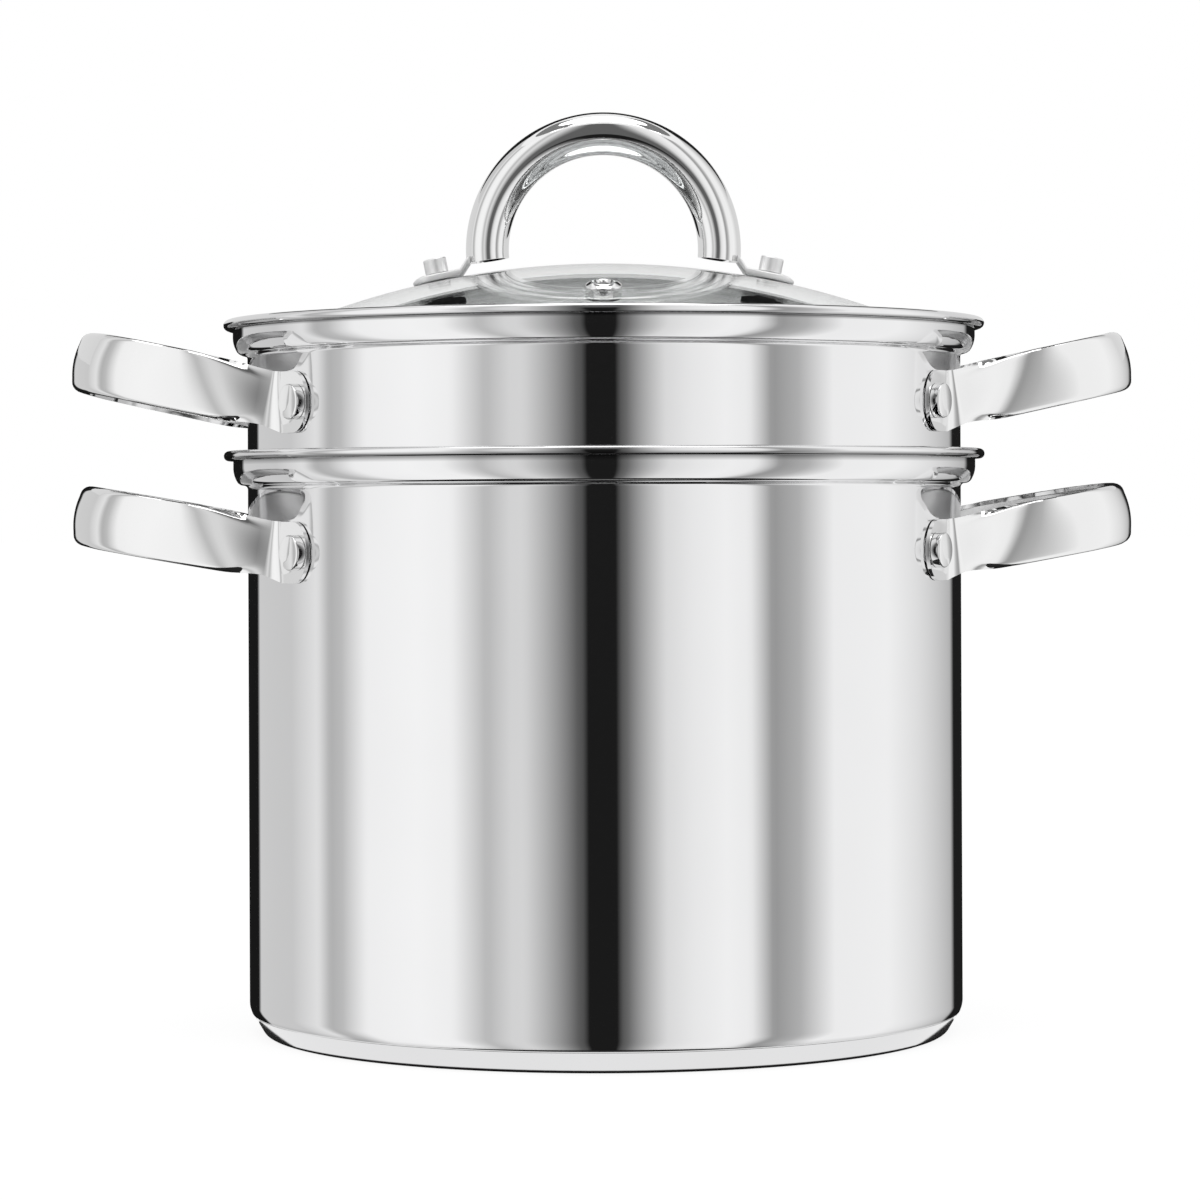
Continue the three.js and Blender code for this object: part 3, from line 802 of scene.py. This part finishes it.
rivet_corners = [
    (0, 108.0, 0), (3.6, 108.0, 0.5), (4.6, 109.3, 0.2), (2.5, 109.3, 0), (2.5, 112.35, 0),
    (5.3, 112.35, 0.15), (5.3, 115.2, 0.7), (3.4, 115.5, 0), (1.7, 115.65, 0), (0, 115.7, 0),
]
spacer_corners = [
    (2.8, 110.82, 0), (5.6, 110.82, 0), (5.6, 111.02, 0), (2.8, 111.02, 0),
]
rivet_sides = {
    "right_front": -RIVET_ANGLE,
    "right_rear": RIVET_ANGLE,
    "left_front": math.pi + RIVET_ANGLE,
    "left_rear": math.pi - RIVET_ANGLE,
}
for owner, height in (("pot", POT_RIVET), ("strainer", STRAINER_RIVET)):
    for side, angle in rivet_sides.items():
        place = Matrix.Translation((0, 0, height)) @ Matrix.Rotation(angle, 4, "Z")
        place = place @ Matrix.Rotation(math.pi / 2, 4, "Y")
        fitting(
            rivet_corners, f"{owner}_rivet_head_{side}", owner, f"{owner}_rivet_{side}",
            strap_steel, place,
        )
        fitting(
            spacer_corners, f"{owner}_spacer_ring_{side}", owner, f"{owner}_spacer_{side}",
            satin_steel, place, loop=True,
        )

# %% [markdown]
# ## The glass lid
# The lid is a shallow dome that blends into a flat rim. A piece of a sphere would
# leave a crease at the rim, so the section is a point at the top, spun twice in the
# outline's own plane: first about the centre of the dome, then the other way about
# the centre of the blend. A turn about Z makes the surface and Solidify makes 4 mm
# of glass. A steel band is folded round the rim.

# %% Lid glass
DOME, DOME_CENTRE = 255.0, -16.9
GLASS = 4
RIM, GLASS_EDGE = 214.3, 112
BLEND, BLEND_X = 17.0, 106.3
DOME_STEPS, BLEND_STEPS = 28, 8
dome_slope = math.asin(BLEND_X / (DOME - GLASS / 2 + BLEND))
bm = bmesh.new()
top = bm.verts.new((0, 0, DOME_CENTRE + DOME - GLASS / 2))
for centre, angle, steps in (
    ((0, 0, DOME_CENTRE), dome_slope, DOME_STEPS),
    ((BLEND_X, 0, RIM + BLEND), -dome_slope, BLEND_STEPS),
):
    made = bmesh.ops.spin(
        bm, geom=[top], cent=centre, axis=(0, 1, 0), dvec=(0, 0, 0), angle=angle,
        steps=steps, use_merge=False, use_duplicate=False,
    )
    top = made["geom_last"][0]
bm.edges.new((top, bm.verts.new((GLASS_EDGE, 0, RIM))))
brace(bm, longest=5.0)
spun(bm, WALL_STEPS)
lid_glass = piece(bm, "lid_glass_dome", "lid", ["lid_glass"], lid_glass_clear)
sheet_metal(lid_glass, GLASS)

# %% Rim band
BAND_SHEET = 0.6
band_corners = [
    (107.5, 211.7, 0), (113.5, 211.7, 1.4), (113.5, 216.9, 1.0), (108.5, 216.9, 0),
]
bm = bmesh.new()
outline(bm, band_corners)
spun(bm, WALL_STEPS)
rim_band = piece(bm, "lid_band_folded", "lid", ["lid_rim_band"], strap_steel)
sheet_metal(rim_band, BAND_SHEET)

# %% [markdown]
# ## The lid handle
# The handle is a bent tube with a flattened foot at each end. A curve with a round
# bevel would give the tube, but as a circle that is spun about the middle of the
# arch it can be cut: it goes a little past half a turn on each side, and is cut
# parallel to the glass under each leg. A narrow ring and a short hollow close the
# cut ends. A foot starts as a plan with a rounded end. It is extruded to its
# thickness, lifted at its inner end, where it rises to its leg with a jog, and
# gets softened edges.

# %% The feet
LID_TURN = math.radians(-4)
FOOT_TILT = math.asin(51.3 / DOME)
PLATE_HALF, PLATE_END, PLATE_ROUNDING = 6, 8, 5.7
PLATE_CLEARANCE, PLATE_THICKNESS = 0.3, 2.2
PLATE_DROP, PLATE_DROP_FROM = 0.9, 4
JOG_FOOT, JOG_TOP = -7.3, -10.9
LEG_LIFT = 3.9
SHARP_EDGE = 1


def on_dome(tilt, turn):
    """The matrix that stands a piece, drawn along Z from the dome's centre, on the glass."""
    return (
        Matrix.Translation((0, 0, DOME_CENTRE))
        @ Matrix.Rotation(turn, 4, "Z")
        @ Matrix.Rotation(tilt, 4, "Y")
    )


def lid_foot(bm, turn):
    """One flattened foot on the glass, with a rounded outer end and a jog at the inner one."""
    foot = bmesh.new()
    plan = [
        (JOG_TOP, -PLATE_HALF), (PLATE_END, -PLATE_HALF),
        (PLATE_END, PLATE_HALF), (JOG_TOP, PLATE_HALF),
    ]
    face = foot.faces.new([foot.verts.new((x, y, DOME + PLATE_CLEARANCE)) for x, y in plan])
    outer = [vert for vert in face.verts if vert.co.x > 0]
    bmesh.ops.bevel(
        foot, geom=outer, offset=PLATE_ROUNDING, offset_type="OFFSET", segments=10, profile=0.5,
        affect="VERTICES", material=-1,
    )
    bmesh.ops.bisect_plane(
        foot, geom=foot.verts[:] + foot.edges[:] + foot.faces[:], dist=1e-4,
        plane_co=(JOG_FOOT, 0, 0), plane_no=(1, 0, 0), clear_inner=False, clear_outer=False,
    )
    lifted = bmesh.ops.extrude_face_region(foot, geom=foot.faces[:])["geom"]
    top = [item for item in lifted if isinstance(item, bmesh.types.BMVert)]
    bmesh.ops.translate(foot, vec=(0, 0, PLATE_THICKNESS), verts=top)
    for vert in top:
        past = max(0, (vert.co.x - PLATE_DROP_FROM) / (PLATE_END - PLATE_DROP_FROM))
        vert.co.z -= PLATE_DROP * past ** 2
    raised = [vert for vert in foot.verts if vert.co.x < JOG_FOOT - 1]
    bmesh.ops.translate(foot, vec=(0, 0, LEG_LIFT - PLATE_CLEARANCE), verts=raised)
    bmesh.ops.recalc_face_normals(foot, faces=foot.faces)
    rims = [edge for edge in foot.edges if edge.calc_face_angle(0) > SHARP_EDGE]
    bmesh.ops.bevel(
        foot, geom=rims, offset=0.5, offset_type="OFFSET", segments=3, profile=0.5,
        affect="EDGES", material=-1,
    )
    for face in foot.faces:
        face.material_index = 1
    bmesh.ops.transform(foot, matrix=on_dome(FOOT_TILT, turn), verts=foot.verts)
    join(bm, foot)


# %% The tube, cut parallel to the glass
ARCH, ARCH_CENTRE = 36.2, 242.8
TUBE, TUBE_SIDES = 6.7, 48
ARCH_STEPS = 96
OVERRUN = math.radians(20)
handle = bmesh.new()
ring_place = (
    Matrix.Translation((0, 0, ARCH_CENTRE))
    @ Matrix.Rotation(OVERRUN, 4, "Y")
    @ Matrix.Translation((ARCH, 0, 0))
)
bmesh.ops.create_circle(handle, cap_ends=False, segments=TUBE_SIDES, radius=TUBE, matrix=ring_place)
bmesh.ops.spin(
    handle, geom=handle.verts[:] + handle.edges[:], cent=(0, 0, ARCH_CENTRE), axis=(0, 1, 0),
    dvec=(0, 0, 0), angle=-math.pi - 2 * OVERRUN, steps=ARCH_STEPS, use_merge=False,
    use_duplicate=False,
)
bmesh.ops.recalc_face_normals(handle, faces=handle.faces)
leg_tilt = math.asin(ARCH / DOME)
for sign in (1, -1):
    normal = Vector((sign * math.sin(leg_tilt), 0, math.cos(leg_tilt)))
    leg = [face for face in handle.faces if face.calc_center_median().x * sign > 0]
    ends = {item for face in leg for item in (*face.verts, *face.edges)}
    bmesh.ops.bisect_plane(
        handle, geom=[*leg, *ends], dist=1e-4,
        plane_co=Vector((0, 0, DOME_CENTRE)) + (DOME + LEG_LIFT) * normal, plane_no=normal,
        clear_inner=True, clear_outer=False,
    )
bmesh.ops.rotate(
    handle, cent=(0, 0, 0), matrix=Matrix.Rotation(LID_TURN, 3, "Z"), verts=handle.verts
)
print("tube:", len(handle.faces), "faces after the cut")

# %% The tube's mouths and the whole handle
MOUTH_SHARE, MOUTH_DEPTH = 0.82, 6


def grown_rim(bm):
    """The new vertices of a strip that is extruded from every open edge."""
    rims = [edge for edge in bm.edges if edge.is_boundary]
    strip = bmesh.ops.extrude_edge_only(bm, edges=rims)["geom"]
    return [item for item in strip if isinstance(item, bmesh.types.BMVert)]


inner = grown_rim(handle)
for sign in (1, -1):
    mouth = [vert for vert in inner if vert.co.x * sign > 0]
    middle = sum((vert.co for vert in mouth), Vector()) / len(mouth)
    for vert in mouth:
        vert.co = middle + (vert.co - middle) * MOUTH_SHARE
bmesh.ops.translate(handle, vec=(0, 0, MOUTH_DEPTH), verts=grown_rim(handle))
bmesh.ops.holes_fill(handle, edges=[edge for edge in handle.edges if edge.is_boundary], sides=0)
bmesh.ops.recalc_face_normals(handle, faces=handle.faces)
for turn in (LID_TURN, LID_TURN + math.pi):
    lid_foot(handle, turn)
lid_handle = piece(handle, "lid_handle_bent_tube", "lid", ["lid_handle"], strap_steel)
lid_handle.data.materials.append(fastener_steel)

# %% [markdown]
# ## Lid fasteners and vent
# A screw comes up through each foot and a plain round cap nut closes it. Under the
# glass lies a silicone gasket, with a sleeve round the screw and a short skirt
# round its head. The steam vent is a small eyelet pressed into the glass. Each
# could be built where it stands, but all are turned pieces, so they are drawn along
# Z from the dome's centre and one matrix tips them onto the dome.

# %% Lid fittings
VENT_REACH = 75
nut_corners = [
    (0, 261.0, 0), (2.3, 261.0, 0), (2.3, 257.8, 0), (3.6, 257.8, 0.2),
    (3.6, 262.4, 0.35), (0, 262.4, 0),
]
screw_corners = [
    (0, 246.3, 0), (3.6, 246.3, 0.8), (4.6, 247.5, 0.3), (4.6, 248.5, 0.2), (2, 248.5, 0),
    (2, 260.7, 0), (0, 260.7, 0),
]
gasket_corners = [
    (2.3, 248.8, 0), (5, 248.8, 0), (5, 247.8, 0.2), (7.2, 247.8, 0.6), (7.2, 250.4, 0.5),
    (3.4, 250.4, 0), (3.4, 255.0, 0), (2.3, 255.0, 0),
]
vent_corners = [
    (1.9, 249.6, 0), (5.4, 249.6, 0.3), (5.4, 250.4, 0.2), (3.2, 250.4, 0), (3.2, 255.3, 0),
    (5.4, 255.3, 0.1), (5.4, 256.1, 0.5), (4.0, 257.2, 0.9), (2.7, 257.2, 0.5), (1.9, 256.4, 0.2),
]
for side, turn in (("right", LID_TURN), ("left", LID_TURN + math.pi)):
    place = on_dome(FOOT_TILT, turn)
    fitting(
        nut_corners, f"lid_nut_{side}", "lid", f"lid_cap_nut_{side}", fastener_steel,
        place,
    )
    fitting(
        screw_corners, f"lid_screw_turned_{side}", "lid", f"lid_screw_{side}", fastener_steel,
        place,
    )
    fitting(
        gasket_corners, f"lid_gasket_ring_{side}", "lid", f"lid_gasket_{side}", black_silicone,
        place, loop=True,
    )
vent_place = on_dome(math.asin(VENT_REACH / DOME), LID_TURN - math.pi / 2)
fitting(
    vent_corners, "lid_vent_eyelet", "lid", "lid_vent_grommet", strap_steel,
    vent_place, loop=True,
)

# %% [markdown]
# ## The floor
# Polished steel shows little of itself and a great deal of the room, so the set
# matters as much as the finish. It starts with the floor, which has to look almost
# white and still hold a faint shadow. A shadow catcher would have to be laid over
# white afterwards, so the floor is matt paper that mostly glows where the camera
# sees it. Reflections don't see it, because they get a set of their own.

# %% The floor
FLOOR_HALF = 20
GLOW_SHARE = 0.85
bm = bmesh.new()
bmesh.ops.create_grid(bm, x_segments=1, y_segments=1, size=FLOOR_HALF)
floor = object_from(bm, "studio_floor")
floor.visible_glossy = False

paper = Finish(bpy.data.materials.new("floor_paper"))
seen = paper.node("ShaderNodeLightPath", output="Is Camera Ray")
grain = paper.node("ShaderNodeTexNoise", sockets={"Scale": 8.0, "Detail": 2.0})
tone = paper.node("ShaderNodeValToRGB", {"stops": [(0.3, 0.9), (0.7, 0.92)]}, {"Fac": grain})
matt = paper.node("ShaderNodeBsdfDiffuse", sockets={"Color": tone})
glow = paper.node("ShaderNodeEmission", sockets={"Color": (1, 1, 1, 1), "Strength": 1.03})
mixed = paper.node("ShaderNodeMixShader", sockets={0: seen * GLOW_SHARE, 1: matt, 2: glow})
paper.node("ShaderNodeOutputMaterial", sockets={"Surface": mixed})
floor.data.materials.append(paper.owner)
print("floor:", 2 * FLOOR_HALF, "m square")

# %% [markdown]
# ## A set that only reflections see
# A polished pot is photographed inside a tent of paper and cloth, and mirrors it.
# An image of a room could stand in for that, but here the set is built from rings
# round the pot's axis, so that each can be put just where a surface mirrors it: a
# tall screen, a lit ring of table round the base with a shadow inside it, and a
# dark floor further down. Two flags, cut from a ring high above the side handles,
# dim what the edges of the straps mirror.

# %% Rings and flags
RING_STEPS = 96
RING_HOLE = 0.001
SCREEN_RADIUS = 0.3
SCREEN_LOW, SCREEN_HIGH = -0.23, 0.65
TABLE_LEVEL = -0.0002
TABLE_FROM, TABLE_TO = 0.1063, 0.1145
DARK_LEVEL = SCREEN_LOW + 0.03
FLAG_LEVEL = 0.6
FLAG_FROM, FLAG_TO = 0.12, 0.2
FLAG_INNER_X = 0.09


def reflected(name, start, end):
    """A ring of the set that only reflections see, swept from one radius and height to another."""
    bm = bmesh.new()
    bm.edges.new([bm.verts.new((radius, 0, height)) for radius, height in (start, end)])
    full_turn(bm, RING_STEPS)
    ring = object_from(bm, name)
    ring.visible_camera = False
    ring.visible_diffuse = False
    ring.visible_transmission = False
    ring.visible_shadow = False
    print("ring:", name)
    return ring


def flag(name, side):
    """A flag above one pair of side handles, which only reflections see."""
    made = reflected(name, (FLAG_FROM, FLAG_LEVEL), (FLAG_TO, FLAG_LEVEL))
    bm = bmesh.new()
    bm.from_mesh(made.data)
    off = [face for face in bm.faces if face.calc_center_median().x * side < FLAG_INNER_X]
    bmesh.ops.delete(bm, geom=off, context="FACES")
    bm.to_mesh(made.data)
    bm.free()
    return made


screen = reflected("studio_screen", (SCREEN_RADIUS, SCREEN_LOW), (SCREEN_RADIUS, SCREEN_HIGH))
table_shadow = reflected("table_shadow", (RING_HOLE, TABLE_LEVEL), (TABLE_FROM, TABLE_LEVEL))
table_light = reflected("table_light", (TABLE_FROM, TABLE_LEVEL), (TABLE_TO, TABLE_LEVEL))
dark_floor = reflected("dark_floor", (RING_HOLE, DARK_LEVEL), (SCREEN_RADIUS, DARK_LEVEL))
flag_right = flag("flag_right", 1)
flag_left = flag("flag_left", -1)

# %% [markdown]
# ## The screen's panels
# The upright stripes on the wall are panels of the screen. They could be cards of
# their own, but one colour ramp round the axis paints them all, so a stripe is
# moved by one number. The ramp is dark where the camera stands, and at the back,
# which the left and right edges of the wall mirror. Over it lie a pale backdrop
# behind the pot, wider higher up, and a faint haze high in the camera's dark gap.

# %% Bearings round the axis
CAMERA_AZIMUTH = math.radians(-4)


def round_the_axis(paint):
    """Height, bearing as a part of a turn, and degrees off the camera, of a point of the set."""
    spot = paint.node("ShaderNodeTexCoord", output="Object")
    turned = paint.node(
        "ShaderNodeMapping", {"vector_type": "POINT"},
        {"Vector": spot, "Rotation": (0, 0, math.pi / 2 - CAMERA_AZIMUTH)},
    )
    x, y, height = (
        paint.node("ShaderNodeSeparateXYZ", sockets={"Vector": turned}, output=axis)
        for axis in ("X", "Y", "Z")
    )
    bearing = y.math("ARCTAN2", y, x) / (2 * math.pi) + 0.5
    return height, bearing, abs(bearing - 0.5) * 360


def shine(paint, colour, ring):
    """Lets a ring of the set glow in a colour."""
    glow = paint.node("ShaderNodeEmission", sockets={"Color": colour, "Strength": 1.0})
    paint.node("ShaderNodeOutputMaterial", sockets={"Surface": glow})
    ring.data.materials.append(paint.owner)


# %% Screen panels
# Degrees from the camera, with right as positive, and the grey there
panels = [
    (-127.4, 0.01), (-125.4, 0.66), (-100, 0.65), (-86.5, 0.86), (-80.9, 0.5), (-76, 0.57),
    (-66.8, 0.99), (-50, 1.04), (-40, 1.0), (-30.4, 0.55), (-24, 0.75), (-20.5, 0.76),
    (-15.6, 0.54), (-10.3, 0.28), (-6.5, 0.1), (-4.9, 0.085), (-4.5, 0.012), (3.3, 0.012),
    (3.7, 0.1), (5, 0.12), (10.7, 0.5), (15.3, 0.8), (22, 0.92), (31, 1.0), (37.5, 0.96),
    (44, 0.34), (52, 0.49), (63.2, 0.97), (84, 1.0), (100, 0.83), (125, 0.5), (129, 0.013),
]
BACKDROP_LOW, BACKDROP_TOP = 0.235, 0.37
NARROW_FROM, WIDE_FROM = 160, 98
BACKDROP_GREY = 0.75
HAZE_FROM, HAZE_HALF, HAZE_GREY = 0.245, 12, 0.125

panel_paint = Finish(bpy.data.materials.new("screen_panels"))
height, bearing, turn = round_the_axis(panel_paint)
ramp = panel_paint.node(
    "ShaderNodeValToRGB",
    {"stops": [((degrees + 180) / 360, grey) for degrees, grey in panels]},
    {"Fac": bearing},
)
backdrop_from = NARROW_FROM - (NARROW_FROM - WIDE_FROM) * (height > BACKDROP_LOW)
backdrop = (turn > backdrop_from) * (height < BACKDROP_TOP)
haze = (height > HAZE_FROM) * (turn < HAZE_HALF)
level = ramp.at_least(backdrop * BACKDROP_GREY).at_least(haze * HAZE_GREY)
shine(panel_paint, level, screen)
print("screen:", len(panels), "panel stops")

# %% [markdown]
# ## Cloths and the lit table
# The flags and the dark floor are plain cloths, and the shadow is a dark disc of
# painted shadow under the pot; each is a grey with faint patches. The lit table
# needs more. The base cap leans outwards, so it mirrors the table next to it: white
# in the middle, and dark at both ends, where the painted shadow under the pot
# spreads. More rings could draw that, but the edge of the light is a formula here,
# which moves outwards with the bearing and has no joints.

# %% Flags, shadow and dark floor
FLAG_GREY, SHADOW_GREY, DARK_GREY = 0.22, 0.01, 0.02
for ring, name, grey in (
    (flag_right, "flag_cloth_right", FLAG_GREY),
    (flag_left, "flag_cloth_left", FLAG_GREY),
    (table_shadow, "contact_shadow", SHADOW_GREY),
    (dark_floor, "dark_floor", DARK_GREY),
):
    paint = Finish(bpy.data.materials.new(name))
    patches = paint.node("ShaderNodeTexNoise", sockets={"Scale": 6.0, "Detail": 2.0})
    tone = paint.node(
        "ShaderNodeValToRGB", {"stops": [(0.3, grey * 0.97), (0.7, grey)]}, {"Fac": patches}
    )
    shine(paint, tone, ring)
    print("cloth:", name, grey)

# %% The lit table
SPREAD_FROM = 62
SPREAD_PER_DEGREE = 0.00022
EDGE_STEEPNESS = 200
table_paint = Finish(bpy.data.materials.new("lit_table"))
_, _, turn = round_the_axis(table_paint)
spot = table_paint.node("ShaderNodeTexCoord", output="Object")
reach = table_paint.node("ShaderNodeVectorMath", {"operation": "LENGTH"}, {0: spot}, output="Value")
sideways = 90 - abs(turn - 90)
light_from = TABLE_FROM + SPREAD_PER_DEGREE * (sideways - SPREAD_FROM).at_least(0)
lit = table_paint.node(
    "ShaderNodeValToRGB", {"stops": [(0.0, 0.02), (0.1, 1.0)]},
    {"Fac": (reach - light_from) * EDGE_STEEPNESS},
)
shine(table_paint, lit, table_light)
print("table: lit from", TABLE_FROM, "to", TABLE_TO, "m")

# %% [markdown]
# ## The white room
# The world is white, which gives the picture its white ground. A ray that is
# mirrored inside the lid's glass leaves it as a transmission ray, so it misses the
# set and brings white to places that are dark in the photograph, such as the black
# gaskets. A dark card behind the lid would stay below when the lid is lifted. So a
# strip of the world, part of the way up behind the pot, is dark for transmission
# rays alone, and serves every pose.

# %% The world
STRIP_LOW, STRIP_HIGH = 0.38, 0.6
STRIP_AHEAD = 0.5
STRIP_DARKNESS = 0.98
world = bpy.data.worlds.new("white_studio")
bpy.context.scene.world = world
room = Finish(world)
way = room.node("ShaderNodeTexCoord", output="Object")
rise = room.node("ShaderNodeSeparateXYZ", sockets={"Vector": way}, output="Z")
ahead = room.node(
    "ShaderNodeVectorMath", {"operation": "DOT_PRODUCT"},
    {0: way, 1: (-math.sin(CAMERA_AZIMUTH), math.cos(CAMERA_AZIMUTH), 0)}, output="Value",
)
strip = (rise > STRIP_LOW) * (rise < STRIP_HIGH) * (ahead > STRIP_AHEAD)
glass = room.node("ShaderNodeLightPath", output="Is Transmission Ray")
white = room.node(
    "ShaderNodeBackground",
    sockets={"Color": 1 - STRIP_DARKNESS * glass * strip, "Strength": 1.0},
)
room.node("ShaderNodeOutputWorld", sockets={"Surface": white})
print("world:", world.name)

# %% [markdown]
# ## Light and camera
# One large soft lamp overhead gives the floor its shadow. The camera stands level,
# 1.3 m away, a little left of the pot's front, with a long lens. It could be tipped
# down to centre the pot, but then the walls would lean, so a shift of the lens sets
# the pot in the frame as the photograph does. A roll of a fifth of a degree follows
# the photograph's tilt.

# %% Light
lamp_data = bpy.data.lights.new("overhead_softbox", "AREA")
lamp_data.shape = "RECTANGLE"
lamp_data.size, lamp_data.size_y = 1.6, 1.2
lamp_data.energy = 12
lamp = bpy.data.objects.new("overhead_softbox", lamp_data)
lamp.location = (0, -0.3, 2.0)
lamp.rotation_euler = (math.radians(-8), 0, 0)
bpy.context.scene.collection.objects.link(lamp)
print("lamp:", lamp_data.energy, "W")

# %% Camera
DISTANCE = 1.301
EYE = 0.162
ROLL = math.radians(0.22)
SENSOR = 36
PHOTO_PIXELS = 1200
FOCAL_PIXELS = 4170
SHIFT_X_PIXELS, SHIFT_Y_PIXELS = -4.4, -91.2
camera_data = bpy.data.cameras.new("camera")
camera_data.sensor_width = SENSOR
camera_data.lens = SENSOR * FOCAL_PIXELS / PHOTO_PIXELS
camera_data.shift_x = SHIFT_X_PIXELS / PHOTO_PIXELS
camera_data.shift_y = SHIFT_Y_PIXELS / PHOTO_PIXELS
camera_data.clip_start = 0.05
camera = bpy.data.objects.new("camera", camera_data)
camera.location = (
    DISTANCE * math.sin(CAMERA_AZIMUTH), -DISTANCE * math.cos(CAMERA_AZIMUTH), EYE
)
camera.rotation_euler = (math.pi / 2, ROLL, CAMERA_AZIMUTH)
bpy.context.scene.collection.objects.link(camera)
bpy.context.scene.camera = camera
bpy.context.scene.view_settings.view_transform = "Standard"
print("camera at", [round(v, 3) for v in camera.location])
